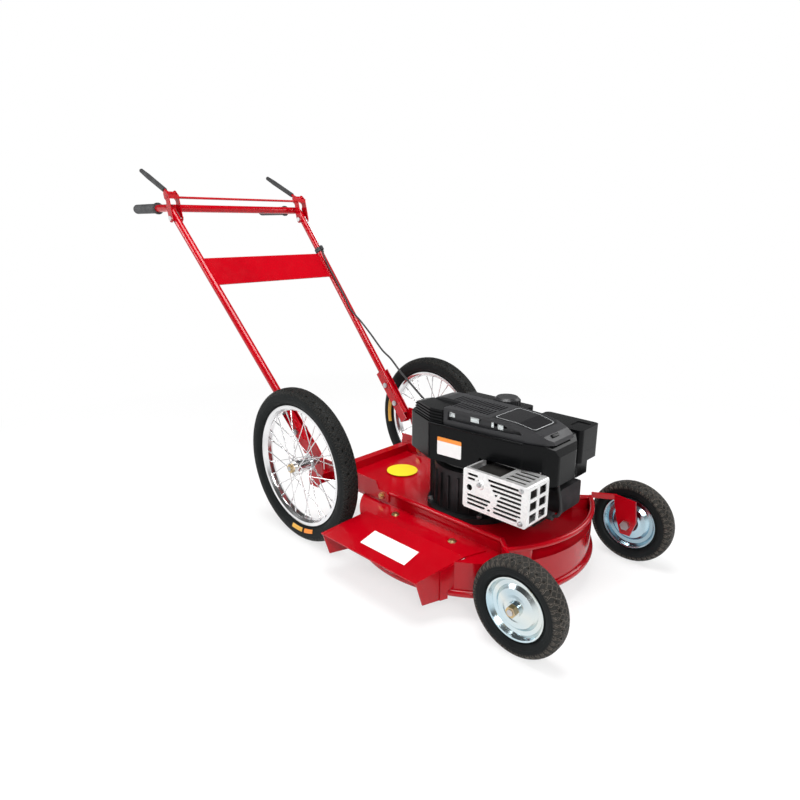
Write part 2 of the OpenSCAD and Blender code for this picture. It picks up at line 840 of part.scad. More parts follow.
// Flat plate between the tubes, in their own plane
module handle_plate() {
    top = corner + tube_down * plate_drop;
    low = corner + tube_down * (plate_drop + plate_w);
    drop = [tube_down.x, 0, tube_down.z];
    normal = unit([-drop.z, 0, drop.x]);
    color("firebrick") seat() difference() {
        basis([top.x, 0, top.z], [0, 1, 0], normal) translate([0, 0, -sheet_t / 2])
            linear_extrude(sheet_t) polygon([
                [-top.y, 0], [top.y, 0],
                [low.y, -norm(drop) * plate_w], [-low.y, -norm(drop) * plate_w]]);
        both() tube_path(tube_d + 2 * seat_gap);
    }
}

module handle_bolts() {
    wall_y = tube_d / 2 + channel_gap + channel_t;
    color("silver") seat() both() for (s = bolt_places) on_tube(s) {
        cross_pin([0, 0, 0], bolt_d, 2 * wall_y + 2 * bolt_head_h + 3);
        for (side = [-1, 1])
            hex_y([0, side * (wall_y + seat_gap + bolt_head_h / 2), 0], bolt_head_d, bolt_head_h);
    }
}

// Rubber grips with a closed, rounded end and a flange towards the bend
module handle_grips() {
    bore = tube_d + 2 * seat_gap;
    color("dimgray") seat() both() translate([grip_end_x - 5, handle_w / 2, handle_z]) rotate([0, 90, 0])
        rotate_extrude() polygon([
            [0, 0], [grip_d / 2 - 4, 0], [grip_d / 2 - 1, 1.5], [grip_d / 2, 5],
            [grip_d / 2, grip_l], [grip_d / 2 + 3, grip_l + 1], [grip_d / 2 + 3, grip_l + 5],
            [bore / 2, grip_l + 5], [bore / 2, 5 - seat_gap], [0, 5 - seat_gap]]);
}

module bail_pivots() {
    long = 2 * strap_half + 2 * running_gap;
    color("silver") seat() both() {
        cross_pin(pivot, pivot_d, long + 4);
        for (side = [-1, 1])
            cross_pin(pivot + [0, side * (long / 2 + 2 + seat_gap), 0], 14, 4);
    }
}

// Two pressed straps astride the tubes, joined by a long rod, each with a lever arm
module bail() {
    pivot_bore = pivot_d + 2 * running_gap;
    color("firebrick") seat() {
        both() {
            translate(pivot) {
                difference() {
                    for (side = [-1, 1])
                        translate([0, side * (strap_half - strap_t / 2) - strap_t / 2, 0])
                            side_plate(0, strap_t) strap_outline();
                    cross_pin([0, 0, 0], pivot_bore, 4 * strap_half);
                }
                cross_pin([boss_at.x, 0, boss_at.y], 14, 2 * strap_half);
                translate([0, -strap_half, 0]) strap_web();
                lever_end = sleeve_from + (bail_sleeve_l - 6) * [-cos(sleeve_angle), sin(sleeve_angle)];
                rod([boss_at.x, 0, boss_at.y], [sleeve_from.x, 0, sleeve_from.y], lever_d);
                rod([sleeve_from.x, 0, sleeve_from.y], [lever_end.x, 0, lever_end.y], lever_d);
                translate([sleeve_from.x, 0, sleeve_from.y]) sphere(d = lever_d + 0.4, $fn = 24);
            }
        }
        cross_pin([pivot.x + rod_at.x, 0, pivot.z + rod_at.y], bail_rod_d, 2 * pivot.y + 2 * strap_half + 2);
    }
}

// One strap, hollowed behind where it stops against the crossbar at the end of its travel
module strap_outline() {
    difference() {
        hull() {
            circle(r = 12, $fn = 32);
            translate(rod_at) circle(r = 11, $fn = 32);
            translate(boss_at) circle(r = 10, $fn = 32);
        }
        for (share = [0.6, 0.8, 1])
            rotate(-share * bail_travel) translate([crossbar_x - pivot.x, handle_z - pivot.z])
                circle(d = tube_d + 2 * strap_stop_gap, $fn = 48);
    }
}

// Front web of a strap, bent from the same sheet above the tube's bend
module strap_web() {
    translate([rod_at.x + 11 - strap_t, 0, rod_at.y - 4]) cube([strap_t, 2 * strap_half, 12]);
}

module bail_sleeves() {
    way = [-cos(sleeve_angle), 0, sin(sleeve_angle)];
    color("black") seat() both()
        translate(pivot + [sleeve_from.x, 0, sleeve_from.y])
            basis(way * 4, [way.z, 0, -way.x], way) difference() {
                rotate_extrude() polygon([
                    [0, 0], [bail_sleeve_d / 2 - 1, 0], [bail_sleeve_d / 2, 1],
                    [bail_sleeve_d / 2 + 0.5, bail_sleeve_l * 0.7],
                    [bail_sleeve_d / 2 - 1, bail_sleeve_l - 4], [bail_sleeve_d / 2 - 3.5, bail_sleeve_l],
                    [0, bail_sleeve_l]]);
                translate([0, 0, -over]) cylinder(d = lever_d + 2 * seat_gap, h = bail_sleeve_l - 9 + over);
            }
}

// Clamp that holds the cable's jacket on the left tube
module cable_anchor() {
    near = tube_d / 2 + seat_gap;
    color("black") seat() on_tube(anchor_at) {
        difference() {
            union() {
                translate([0, 0, -8]) cylinder(r = near + 2.5, h = 16);
                translate([near + 2, -5, -8]) cube([7, 10, 16]);
            }
            translate([0, 0, -20]) cylinder(r = near, h = 40);
            translate([near + 4.2, 0, -20]) cylinder(d = 3, h = 40);
            translate([near + 1.4, -over / 2, -20]) cube([9, over, 40]);
        }
    }
}

// Smooth curve through the given points
function curve(p, steps) = concat([for (i = [0:len(p) - 2], k = [0:steps - 1])
    let (a = p[max(i - 1, 0)],
        b = p[i],
        c = p[i + 1],
        d = p[min(i + 2, len(p) - 1)],
        t = k / steps)
    0.5 * (2 * b + (c - a) * t + (2 * a - 5 * b + 4 * c - d) * t * t + (3 * b - a - 3 * c + d) * t * t * t)],
    [p[len(p) - 1]]);

// Round cord swept along a curve, closed at both ends
module cord(path, d, sides) {
    count = len(path);
    ring = [for (i = [0:count - 1])
        let (way = unit(path[min(i + 1, count - 1)] - path[max(i - 1, 0)]),
            side = unit(cross(way, [0, 0, 1])),
            up = cross(side, way))
        for (k = [0:sides - 1])
            path[i] + d / 2 * (side * cos(k * 360 / sides) + up * sin(k * 360 / sides))];
    walls = [for (i = [0:count - 2], k = [0:sides - 1])
        let (n = (k + 1) % sides)
        [i * sides + k, i * sides + n, (i + 1) * sides + n, (i + 1) * sides + k]];
    polyhedron(ring, concat(walls, [[for (k = [sides - 1:-1:0]) k]],
        [[for (k = [0:sides - 1]) (count - 1) * sides + k]]), convexity = 8);
}

module cable_wire() {
    color("silver") seat() cord(curve(wire_points, 2), wire_d, 8);
}

module cable_jacket() {
    color("black") seat() cord(curve(jacket_points, 5), cable_d, 8);
}

// Blower housing without its hollow: the plan, with a nose that falls away at the front
module shroud_form(inset) {
    x_nose = shroud_front - nose_l;
    intersection() {
        translate([0, 0, shroud_z]) linear_extrude(shroud_top_z - shroud_z) shroud_plan(inset);
        rotate([90, 0, 0]) linear_extrude(2 * blower_w, center = true) offset(delta = -inset) polygon([
            [-2 * shroud_back, shroud_z - 20], [-2 * shroud_back, shroud_top_z + inset],
            [x_nose, shroud_top_z + inset],
            [shroud_front - nose_l / 3, shroud_top_z - nose_l / 2 + inset / 2],
            [shroud_front, shroud_top_z - 1.4 * nose_l],
            [shroud_front + 20, shroud_z - 20]]);
    }
}

// Corner block that stands on the housing's rear right, with level grooves round it
module ribbed_block() {
    top = shroud_top_z + block_h;
    difference() {
        intersection() {
            translate([0, 0, shroud_top_z - cover_t]) linear_extrude(block_h + cover_t) intersection() {
                shroud_plan(3);
                translate([-2 * shroud_back, -2 * shroud_right])
                    square([2 * shroud_back + ribs_x, 2 * shroud_right - block_in]);
            }
            rotate([90, 0, 0]) linear_extrude(2 * blower_w) polygon([
                [-shroud_back + 12, shroud_z], [-shroud_back + 30, top - 6], [-shroud_back + 52, top],
                [ribs_x, top], [ribs_x, shroud_z]]);
        }
        for (i = [0:block_grooves - 1])
            translate([0, 0, shroud_top_z + 4 + i * block_pitch])
                linear_extrude(block_pitch / 2) difference() {
                    shroud_plan(0);
                    shroud_plan(6);
                }
    }
}

// Plan of the blower housing about the crank's axis
module shroud_plan(inset) {
    offset(delta = -inset) soften(14) polygon([
        [-shroud_back, -60], [-shroud_back + 14, -86], [ribs_x - 34, -shroud_right + 2],
        [shroud_front - 62, -shroud_right + 26],
        [shroud_front - 18, -shroud_right + 40], [shroud_front, -58], [shroud_front, 14],
        [shroud_front - 24, 42], [104, 54], [96, shroud_left], [-100, shroud_left], [-shroud_back, 74]]);
}

module blower_housing() {
    color("black") seat() on_deck() {
        difference() {
            shroud_form(0);
            translate([0, 0, -over]) shroud_form(cover_t);
            translate([-36, -36, shroud_top_z - cover_t - over]) cube([72, 46, cover_t + 2 * over]);
            translate([guard_at.x - 3, -200, shroud_z - over])
                cube([guard_l + 30, 203 + guard_at.y + guard_w, guard_at.z + guard_h + 3 - shroud_z + over]);
            translate([-tank_half_l - 1, tank_low_y - 1, shroud_top_z - cover_t - over])
                cube([2 * tank_half_l - 5, tank_side_y - tank_low_y + 2, cover_t + 2 * over]);
        }
        intersection() {
            translate([0, 0, shroud_z]) linear_extrude(cover_t) shroud_plan(cover_t - 0.5);
            union() {
                both() translate([-shroud_back, post_at.y - 12, shroud_z])
                    cube([shroud_back + post_at.x + 12, 24, cover_t]);
                translate([head_x, -8, shroud_z]) cube([shroud_front - head_x, 28, cover_t]);
            }
        }
        ribbed_block();
        translate([-shroud_back - lug_l, 6, 205]) cube([lug_l + 0.5, 18, 16]);
        rod([-shroud_back - 6, -20, 190], [-shroud_back + 1, -20, 190], 8);
    }
}

module cover_profile(inset) {
    offset(delta = -inset) polygon([
        [-108, shroud_top_z - 10], [-108, engine_h - 22], [-84, engine_h - 4], [-60, engine_h],
        [110, engine_h], [172, engine_h - 3], [208, engine_h - 10], [232, engine_h - 20],
        [246, engine_h - 31], [253, shroud_top_z - 10]]);
}

// Plan of the top cover: the housing's own plan, short of the tank and of the ribbed block
module cover_plan(inset) {
    difference() {
        shroud_plan(cover_in + inset);
        translate([-2 * shroud_back, cover_left - inset]) square([2 * blower_l, blower_w]);
        translate([-2 * shroud_back, -2 * shroud_right])
            square([2 * shroud_back + ribs_x + 1 + inset, 2 * shroud_right - block_in + 1 + inset]);
    }
}

module cover_solid(inset) {
    intersection() {
        translate([0, 0, shroud_top_z + seat_gap]) linear_extrude(2 * engine_h) cover_plan(inset);
        rotate([90, 0, 0]) linear_extrude(2 * blower_w, center = true) cover_profile(inset);
    }
}

// Long recess under the right edge of the top cover; grow makes the channel that lines it
module recess(grow) {
    intersection() {
        rotate([90, 0, 0]) linear_extrude(blower_w) offset(delta = grow) polygon([
            [ribs_x + 12, engine_h - 27], [ribs_x + 12, engine_h - 8], [ribs_x + 120, engine_h - 8],
            [ribs_x + 190, engine_h - 17], [ribs_x + 196, engine_h - 24], [ribs_x + 150, engine_h - 27]]);
        linear_extrude(2 * engine_h) difference() {
            shroud_plan(cover_in - 2 + grow);
            shroud_plan(cover_in + recess_deep + grow);
        }
    }
}

// Top cover: two bands of slots over the starter, and windows in the recess along its right side
module top_cover() {
    first = ribs_x - 26;
    color("dimgray") seat() on_deck() difference() {
        union() {
            difference() {
                cover_solid(0);
                translate([0, 0, -seat_gap - over]) cover_solid(cover_t);
            }
            intersection() {
                cover_solid(0.2);
                recess(cover_t);
            }
        }
        recess(0);
        for (i = [0:grille_slots - 1], row = [-1, 1])
            translate([first + grille_pitch * i, grille_y + (row * 1.24 - 1) * grille_w / 2, engine_h - 10])
                cube([grille_pitch / 2, grille_w, 20]);
        for (w = cover_windows)
            translate([w[0], -blower_w, w[1]]) cube([w[2], blower_w - window_in, window_h]);
    }
}

module starter_cup() {
    top = shroud_top_z - cover_t - seat_gap;
    color("gray") seat() on_deck() difference() {
        union() {
            translate([0, 0, top - 3]) cylinder(r = cup_r + 10, h = 3);
            translate([0, 0, cup_low]) cylinder(r = cup_r, h = top - cup_low);
        }
        translate([0, 0, cup_low - over]) cylinder(r = cup_r - 3, h = top - cup_low - 3 + over);
        for (a = [0:60:300]) rotate(a) translate([24, -7, top - 10]) cube([18, 14, 20]);
    }
}

// T-shaped pull on the rear of the blower housing
module starter_grip() {
    x = -shroud_back - seat_gap;
    color("black") seat() on_deck() {
        rod([x, pull_at.x, pull_at.y], [x - 16, pull_at.x, pull_at.y], 12);
        hull() for (side = [-1, 1])
            translate([x - 22, pull_at.x + side * pull_half, pull_at.y]) rotate([90, 0, 0])
                cylinder(d = 16, h = 8, center = true, $fn = 24);
    }
}

module fuel_tank() {
    color("black") seat() on_deck() {
        translate([0, 0, shroud_top_z + seat_gap]) linear_extrude(tank_top_z - shroud_top_z - seat_gap)
            translate([-tank_half_l - 3, tank_top_y])
                soft_square([2 * tank_half_l, tank_side_y + 2 - tank_top_y], 12);
        translate([-tank_half_l, tank_low_y, 172])
            cube([2 * tank_half_l - 7, tank_side_y - tank_low_y, shroud_top_z - 172 + 1]);
        translate([cap_at.x, cap_at.y, tank_top_z - over]) difference() {
            cylinder(d = neck_d, h = neck_h);
            translate([0, 0, 2]) cylinder(d = 44, h = 12);
        }
    }
}

// Fuel cap with a ribbed rim, seated over the tank's neck
module fuel_cap() {
    rib_count = 24;
    color("black") seat() on_deck() translate([cap_at.x, cap_at.y, tank_top_z + seat_gap]) difference() {
        union() {
            cylinder(d = fuel_cap_d - 3, h = cap_h);
            translate([0, 0, cap_h]) cylinder(d1 = fuel_cap_d - 3, d2 = fuel_cap_d - 14, h = 5);
            for (a = [0:360 / rib_count:359]) rotate(a)
                translate([fuel_cap_d / 2 - 3, -2, 1]) cube([3, 4, cap_rib_l]);
        }
        translate([0, 0, -over]) cylinder(d = neck_d + 2 * running_gap + 0.6, h = neck_h + over);
    }
}

// Crankcase with its base flange, cylinder face and the posts that carry the blower housing
module crankcase() {
    crank_bore = crank_d + 2 * running_gap;
    color("dimgray") seat() on_deck() difference() {
        union() {
            translate([0, 0, seat_gap]) cylinder(r = base_r, h = base_h);
            cylinder(d = engine_hole_d - 2 * seat_gap, h = 10);
            translate([0, 0, base_h - over]) cylinder(r = case_r, h = case_h - base_h + over);
            translate([30, 4 - fin_w / 2, case_pad_z]) cube([cylinder_x - 30 + 2, fin_w - 8, case_pad_h]);
            both() translate([post_at.x, post_at.y, base_h / 2])
                cylinder(d = post_d, h = shroud_z - base_h / 2 - seat_gap);
            for (a = case_ribs) rotate(a) translate([case_r - 2, -case_rib_t / 2, base_h + 8])
                cube([7, case_rib_t, case_h - base_h - 22]);
        }
        translate([cylinder_x + 2, -base_r, base_h + seat_gap + over]) cube([base_r, 2 * base_r, case_h]);
        translate([0, 0, -over]) cylinder(d = crank_bore, h = case_h + 2 * over);
        for (a = [45:90:315])
            rotate(a) translate([engine_bolt_r, 0, -over])
                cylinder(d = bolt_d + 2 * seat_gap, h = base_h + 3);
        translate([cylinder_x + 2, 0, cylinder_z]) rotate([0, -90, 0])
            cylinder(d = spigot_d + 4 * seat_gap, h = 20);
    }
}

module engine_bolts() {
    low = -sheet_t;
    color("silver") seat() on_deck() for (a = [45:90:315])
        rotate(a) translate([engine_bolt_r, 0, 0]) {
            translate([0, 0, low - 10]) cylinder(d = bolt_d, h = base_h + 16 - low);
            translate([0, 0, base_h + 2 * seat_gap]) cylinder(d = 14, h = 5, $fn = 6);
            translate([0, 0, low - seat_gap - 6]) cylinder(d = 14, h = 6, $fn = 6);
        }
}

// Finned cylinder that lies forward of the crankcase
module cylinder_block() {
    translate([cylinder_x + 2 + seat_gap, 0, cylinder_z]) rotate([0, 90, 0]) {
        cylinder(d = barrel_d, h = cylinder_l - 2 - 2 * seat_gap);
        translate([0, 0, -14]) cylinder(d = spigot_d, h = 15);
    }
    for (i = [0:fin_count - 1])
        translate([cylinder_x + 5 + i * (cylinder_l - 8) / fin_count, -fin_w / 2, fin_low])
            rotate([90, 0, 90]) linear_extrude(fin_t) soft_square([fin_w, fin_h], fin_corner);
}

module engine_cylinder() {
    color("dimgray") seat() on_deck() cylinder_block();
}

module cylinder_head() {
    color("dimgray") seat() on_deck() {
        difference() {
            translate([head_x, -2 - fin_w / 2, fin_low - 4]) rotate([90, 0, 90]) linear_extrude(head_t)
                soft_square([fin_w + 4, fin_h + 6], fin_corner);
            for (i = [1:3])
                translate([head_x + 6, -fin_w, fin_low + fin_h - head_slot_pitch * i])
                    cube([4, 2 * fin_w, head_slot_w]);
        }
        translate([head_x + head_t - over, valve_at.x, valve_at.y]) rotate([90, 0, 90])
            linear_extrude(6 + over) soft_square(valve_size, 8);
        translate([head_x + head_t, valve_at.x + valve_lip, valve_at.y + valve_lip]) rotate([90, 0, 90])
            linear_extrude(valve_l) soft_square(valve_size - 2 * [valve_lip, valve_lip], 8);
        translate([head_x + head_t / 2, 6, fin_low + fin_h - 10])
            cylinder(d = post_d, h = shroud_z - fin_low - fin_h + 10 - seat_gap);
    }
}

module spark_plug() {
    color("silver") seat() on_deck() translate(plug_at) rotate([0, 90, 0]) {
        translate([0, 0, seat_gap]) cylinder(d = 18, h = 9, $fn = 6);
        translate([0, 0, seat_gap]) cylinder(d = 9, h = 26);
    }
}

// Rubber boot on the plug, and the lead that rises into the blower housing
module plug_lead() {
    color("black") seat() {
        on_deck() translate(plug_at + [seat_gap, 0, 0]) rotate([0, 90, 0]) difference() {
            translate([0, 0, 12]) cylinder(d = 18, h = 26);
            translate([0, 0, 11]) cylinder(d = 9.4, h = 16);
        }
        cord(curve(plug_lead_points, 4), 7, 8);
    }
}

module muffler() {
    inset = 9;
    low = guard_at + [inset, inset, 8];
    size = [guard_l - 2 * inset, guard_w - inset - 10, guard_h - 16];
    color("gray") seat() on_deck() {
        translate([low.x, low.y + size.y, low.z]) rotate([90, 0, 0]) linear_extrude(size.y)
            soft_square([size.x, size.z], 12);
        rod([head_x + 10, low.y + size.y - over, 100], [head_x + 10, -56 - seat_gap, 100], 26);
        for (at = [[30, 30], [guard_l - 24, guard_h - 24]])
            translate([guard_at.x + at.x, guard_at.y + guard_t + seat_gap, guard_at.z + at.y])
                rotate([-90, 0, 0]) cylinder(d = 10, h = inset);
    }
}

// Pressed guard: a shallow box, open towards the engine, with rows of slots
module muffler_guard() {
    color("gainsboro") seat() on_deck() translate(guard_at) difference() {
        union() {
            translate([0, guard_w, 0]) rotate([90, 0, 0]) linear_extrude(guard_w)
                soft_square([guard_l, guard_h], guard_corner);
            translate([guard_boss.x, 1, guard_boss.y]) rotate([90, 0, 0]) cylinder(d1 = 24, d2 = 18, h = 4);
        }
        translate([guard_boss.x, guard_t, guard_boss.y]) rotate([90, 0, 0]) cylinder(d = 7, h = 20);
        translate([0, guard_w + over, 0]) rotate([90, 0, 0]) linear_extrude(guard_w - guard_t + over)
            translate([guard_t, guard_t])
                soft_square([guard_l - 2 * guard_t, guard_h - 2 * guard_t], guard_corner - guard_t);
        translate([0, guard_w / 2, 0]) rotate([90, 0, 0]) linear_extrude(guard_w) guard_holes();
        for (row = [0:2], col = [0:1])
            translate([guard_l - 10, 10 + col * 34, 10 + row * 26]) cube([20, 24, 18]);
        translate([10, 8, guard_h - 10]) cube([guard_window, guard_w - 16, 20]);
        for (row = [0:3])
            translate([guard_window + 20, 10 + row * 16, guard_h - 10])
                cube([guard_l - guard_window - 34, 9, 20]);
    }
}

// Slots of the guard's broad face: eight rows, crossed by a sloping rib, round a raised boss
module guard_holes() {
    pitch = (guard_h - 14) / 8;
    difference() {
        for (row = [0:7]) {
            from = row < 3 ? slot_gap_x : slot_gap_x + 8 - 6 * (row - 3);
            translate([0, 9 + row * pitch]) {
                if (row < 3 || row > 5) translate([12, 0])
                    soft_square([row < 3 ? slot_gap_x - 20 : 26, slot_h], 2.4);
                translate([from, 0]) soft_square([guard_l - 14 - from, slot_h], 2.4);
            }
        }
        translate([guard_boss.x, guard_boss.y]) circle(r = 15);
        translate([guard_boss.x, guard_boss.y]) rotate(-38) translate([10, -3.5]) square([44, 7]);
        translate([guard_boss.x + 34, guard_boss.y - 30]) rotate(52) translate([-70, -3]) square([100, 6]);
        translate([guard_l - 22, 4]) square([20, 16]);
    }
    translate([17, guard_h / 2 + 3]) circle(d = 14);
}

module carburettor() {
    at = [head_x + 2, 82, 90];
    color("silver") seat() on_deck() {
        translate([at.x - 18, 64, 72]) cube([36, 36, 47 - seat_gap]);
        rod([at.x, 56 + seat_gap, at.z], [at.x, 66, at.z], 26);
        translate([at.x, at.y, 52]) cylinder(d = 34, h = 22);
    }
}

// Filter box: a tray on the carburettor, a pleated element, and a lid hinged at its outer side
module air_filter_base() {
    wall = cover_t;
    size = filter_size;
    color("black") seat() on_deck() translate(filter_at) difference() {
        union() {
            linear_extrude(40) soft_square([size.x - 8, size.y - 24], 8);
            translate([0, 0, 36]) linear_extrude(filter_split_z - 36)
                soft_square([size.x, size.y], filter_corner);
        }
        translate([wall, wall, 40]) linear_extrude(60)
            soft_square([size.x - 2 * wall, size.y - 2 * wall], filter_corner - wall);
        translate([20, 14, 6]) cube([60, 30, 60]);
    }
    color("black") seat() on_deck() translate(filter_at) {
        for (x = [hinge_from, hinge_from + hinge_l - hinge_knuckle]) {
            filter_hinge(x, hinge_knuckle);
            translate([x + 1, size.y - 1, filter_split_z - 7])
                cube([hinge_knuckle - 2, hinge_y - size.y + 1, 6.5]);
        }
        filter_hinge_pin(0);
    }
}

// Hinge on the filter's left side: the base has the outer knuckles and the pin, the cover the one between
module filter_hinge(from, long) {
    z = filter_split_z + seat_gap;
    translate([from, hinge_y, z]) rotate([90, 0, 90]) cylinder(d = hinge_d, h = long);
}

module filter_hinge_pin(clear) {
    translate([hinge_from - 1, hinge_y, filter_split_z + seat_gap]) rotate([90, 0, 90])
        cylinder(d = hinge_pin_d + 2 * clear, h = hinge_l + 2);
}

module air_filter_element() {
    pleats = 14;
    size = [filter_size.x - 14, filter_size.y - 14];
    pitch = (size.x - 12) / pleats;
    color("wheat") seat() on_deck() translate(filter_at + [7, 7, 40 + seat_gap]) difference() {
        cube([size.x, size.y, 40]);
        for (i = [0:pleats - 1])
            translate([6 + i * pitch, 6, 6]) cube([pitch - 4, size.y - 12, 40]);
    }
}

module air_filter_cover() {
    wall = cover_t;
    size = filter_size;
    low = filter_split_z + 2 * seat_gap;
    color("black") seat() on_deck() translate(filter_at) difference() {
        union() {
            translate([0, 0, low]) linear_extrude(size.z - low) soft_square([size.x, size.y], filter_corner);
            translate([2, 4, size.z - 1]) cube([12, 18, 4]);
            translate([-12, 4, size.z + 2]) cube([26, 18, 8]);
        }
        translate([wall, wall, low - over]) linear_extrude(size.z - low - wall + over)
            soft_square([size.x - 2 * wall, size.y - 2 * wall], filter_corner - wall);
        translate([size.x - 44, 24, size.z - 1.5]) linear_extrude(5) soft_square([34, 40], 6);
    }
    color("black") seat() on_deck() translate(filter_at) difference() {
        union() {
            filter_hinge(hinge_from + hinge_knuckle + 3 * seat_gap,
                hinge_l - 2 * hinge_knuckle - 6 * seat_gap);
            translate([hinge_from + hinge_knuckle + 2, size.y - 1, low])
                cube([hinge_l - 2 * hinge_knuckle - 4, hinge_y - size.y + 1, hinge_d / 2 - 1.5]);
        }
        filter_hinge_pin(running_gap);
    }
}

module oil_tube() {
    color("black") seat() on_deck() difference() {
        rod(tube_low, tube_high, 24);
        rod(tube_low + tube_way * 20, tube_high + tube_way, 18);
        cylinder(r = case_r + seat_gap, h = case_h);
    }
}

module dipstick() {
    color("black") seat() on_deck() {
        rod(tube_high + tube_way * seat_gap, tube_high + tube_way * 12, 30);
        rod(tube_high - tube_way * 14, tube_high + tube_way, 17.2);
        rod(tube_high - tube_way * 80, tube_high, 4);
        translate(tube_high + tube_way * 11) basis([0, 0, 0], [1, 0, 0], tube_way)
            translate([-12, -2.5, 0]) cube([24, 5, 9]);
    }
}

// Brake arm on the rear of the blower housing, pulled by the cable
module brake_lever() {
    color("silver") seat() on_deck()
        translate([-shroud_back - 3.4, -20, 190]) rotate([90, 0, 90]) difference() {
        linear_extrude(3) hull() {
            circle(r = 9, $fn = 32);
            translate([20, 14]) circle(r = 5, $fn = 32);
        }
        translate([0, 0, -over]) cylinder(d = 8 + 2 * running_gap, h = 3 + 2 * over);
    }
}

module crankshaft() {
    color("silver") seat() on_deck() translate([0, 0, crank_low]) difference() {
        cylinder(d = crank_d, h = flywheel_z + 30 - crank_low);
        translate([0, 0, -over]) cylinder(d = blade_bolt_d + 2 * seat_gap, h = 30 + over);
    }
}

// Flywheel with its ring of fan blades
module flywheel() {
    blades = 18;
    r = 84;
    color("gray") seat() on_deck() difference() {
        union() {
            translate([0, 0, flywheel_z]) cylinder(r = r, h = 14);
            translate([0, 0, flywheel_z]) cylinder(d = 60, h = 26);
            for (a = [0:360 / blades:359]) rotate(a)
                translate([r - 30, -1.5, flywheel_z + 13]) cube([28, 3, 22]);
        }
        translate([0, 0, flywheel_z - over]) cylinder(d = crank_d + 2 * seat_gap, h = 40);
    }
}

module blade_adapter() {
    color("gray") seat() on_deck() difference() {
        union() {
            translate([0, 0, blade_z + blade_t + seat_gap]) cylinder(d = 72, h = 7);
            translate([0, 0, blade_z + blade_t + seat_gap]) cylinder(d = 48, h = 34);
        }
        translate([0, 0, blade_z]) cylinder(d = crank_d + 2 * seat_gap, h = 60);
    }
}

// Straight blade with ground edges and a raised wing behind each tip
module blade() {
    half = blade_l / 2;
    wide = 28;
    color("silver") seat() on_deck() translate([0, 0, blade_z]) difference() {
        for (turn = [0, 180]) rotate(turn) {
            rotate([90, 0, 90]) linear_extrude(half) polygon([
                [-wide, 0], [wide, 0], [wide, blade_t], [-wide + 9, blade_t], [-wide, 1]]);
            translate([half - 90, 0, 0]) rotate([90, 0, 90]) linear_extrude(84) polygon([
                [wide - 6, 0], [wide, 0], [wide + 7, 20], [wide + 4, 22], [wide - 6, blade_t]]);
        }
        translate([0, 0, -over]) cylinder(d = blade_bolt_d + 2 * seat_gap, h = blade_t + 2 * over);
    }
}

module blade_bolt() {
    color("silver") seat() on_deck() translate([0, 0, blade_z - seat_gap]) {
        translate([0, 0, -3]) cylinder(d = 40, h = 3);
        translate([0, 0, -11]) cylinder(d = 20, h = 9, $fn = 6);
        translate([0, 0, -over]) cylinder(d = blade_bolt_d, h = blade_t + 26);
    }
}

// Wheels on their sides of the mower
module rear_left(shade) {
    color(shade) seat() on_wheel(0, rear_y, rear_r) children();
}

module rear_right(shade) {
    color(shade) seat() mirror([0, 1, 0]) on_wheel(0, rear_y, rear_r) children();
}

module front_left(shade) {
    color(shade) seat() on_wheel(front_x, front_y, front_r) children();
}

module front_right(shade) {
    color(shade) seat() mirror([0, 1, 0]) on_wheel(front_x, front_y, front_r) children();
}

deck_shell();
rear_frame();
discharge_chute();
deck_bolts();
front_arms();
front_axles();
rear_axles();
axle_nuts();
handle_bolts();
handle_tube_right();
handle_tube_left();
handle_crossbar();
handle_plate();
handle_grips();
bail_pivots();
bail();
bail_sleeves();
cable_anchor();
cable_wire();
cable_jacket();
crankcase();
engine_bolts();
engine_cylinder();  // cylinder
cylinder_head();
spark_plug();
plug_lead();
muffler();
muffler_guard();
carburettor();
air_filter_base();
air_filter_element();
air_filter_cover();
fuel_tank();
fuel_cap();
blower_housing();
top_cover();
starter_cup();
starter_grip();
oil_tube();
dipstick();
brake_lever();
crankshaft();
flywheel();
blade_adapter();
blade();
blade_bolt();
rear_right("dimgray") rear_tyre();  // rear_tyre_right
rear_right("silver") rear_rim();  // rear_rim_right
rear_right("silver") rear_spokes();  // rear_spokes_right
rear_right("silver") rear_hub();  // rear_hub_right
rear_left("dimgray") rear_tyre();  // rear_tyre_left
rear_left("silver") rear_rim();  // rear_rim_left
rear_left("silver") rear_spokes();  // rear_spokes_left
rear_left("silver") rear_hub();  // rear_hub_left
front_right("dimgray") front_tyre();  // front_tyre_right
front_right("lightsteelblue") front_disc();  // front_disc_right
front_left("dimgray") front_tyre();  // front_tyre_left
front_left("lightsteelblue") front_disc();  // front_disc_left
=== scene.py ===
import json
from math import cos, pi, radians, sin, sqrt

import bpy
from mathutils import Matrix, Vector


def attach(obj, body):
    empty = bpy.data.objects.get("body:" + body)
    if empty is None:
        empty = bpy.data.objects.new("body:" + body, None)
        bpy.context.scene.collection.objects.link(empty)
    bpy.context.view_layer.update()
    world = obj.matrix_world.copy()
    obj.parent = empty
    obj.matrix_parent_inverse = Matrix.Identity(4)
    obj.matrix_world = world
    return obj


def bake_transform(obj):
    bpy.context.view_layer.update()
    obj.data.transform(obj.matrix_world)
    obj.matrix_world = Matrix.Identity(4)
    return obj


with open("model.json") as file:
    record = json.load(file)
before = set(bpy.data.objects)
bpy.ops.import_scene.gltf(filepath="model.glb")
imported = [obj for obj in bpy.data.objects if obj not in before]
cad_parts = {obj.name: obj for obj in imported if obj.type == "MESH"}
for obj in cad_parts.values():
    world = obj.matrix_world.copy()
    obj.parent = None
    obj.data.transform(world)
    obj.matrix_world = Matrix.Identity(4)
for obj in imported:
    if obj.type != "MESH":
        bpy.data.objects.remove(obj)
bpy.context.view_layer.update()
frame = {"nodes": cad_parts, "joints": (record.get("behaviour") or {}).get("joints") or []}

joints = {joint["name"]: joint for joint in frame["joints"]}


def jointPlace(name):
    return Vector(joints[name]["pos_m"])


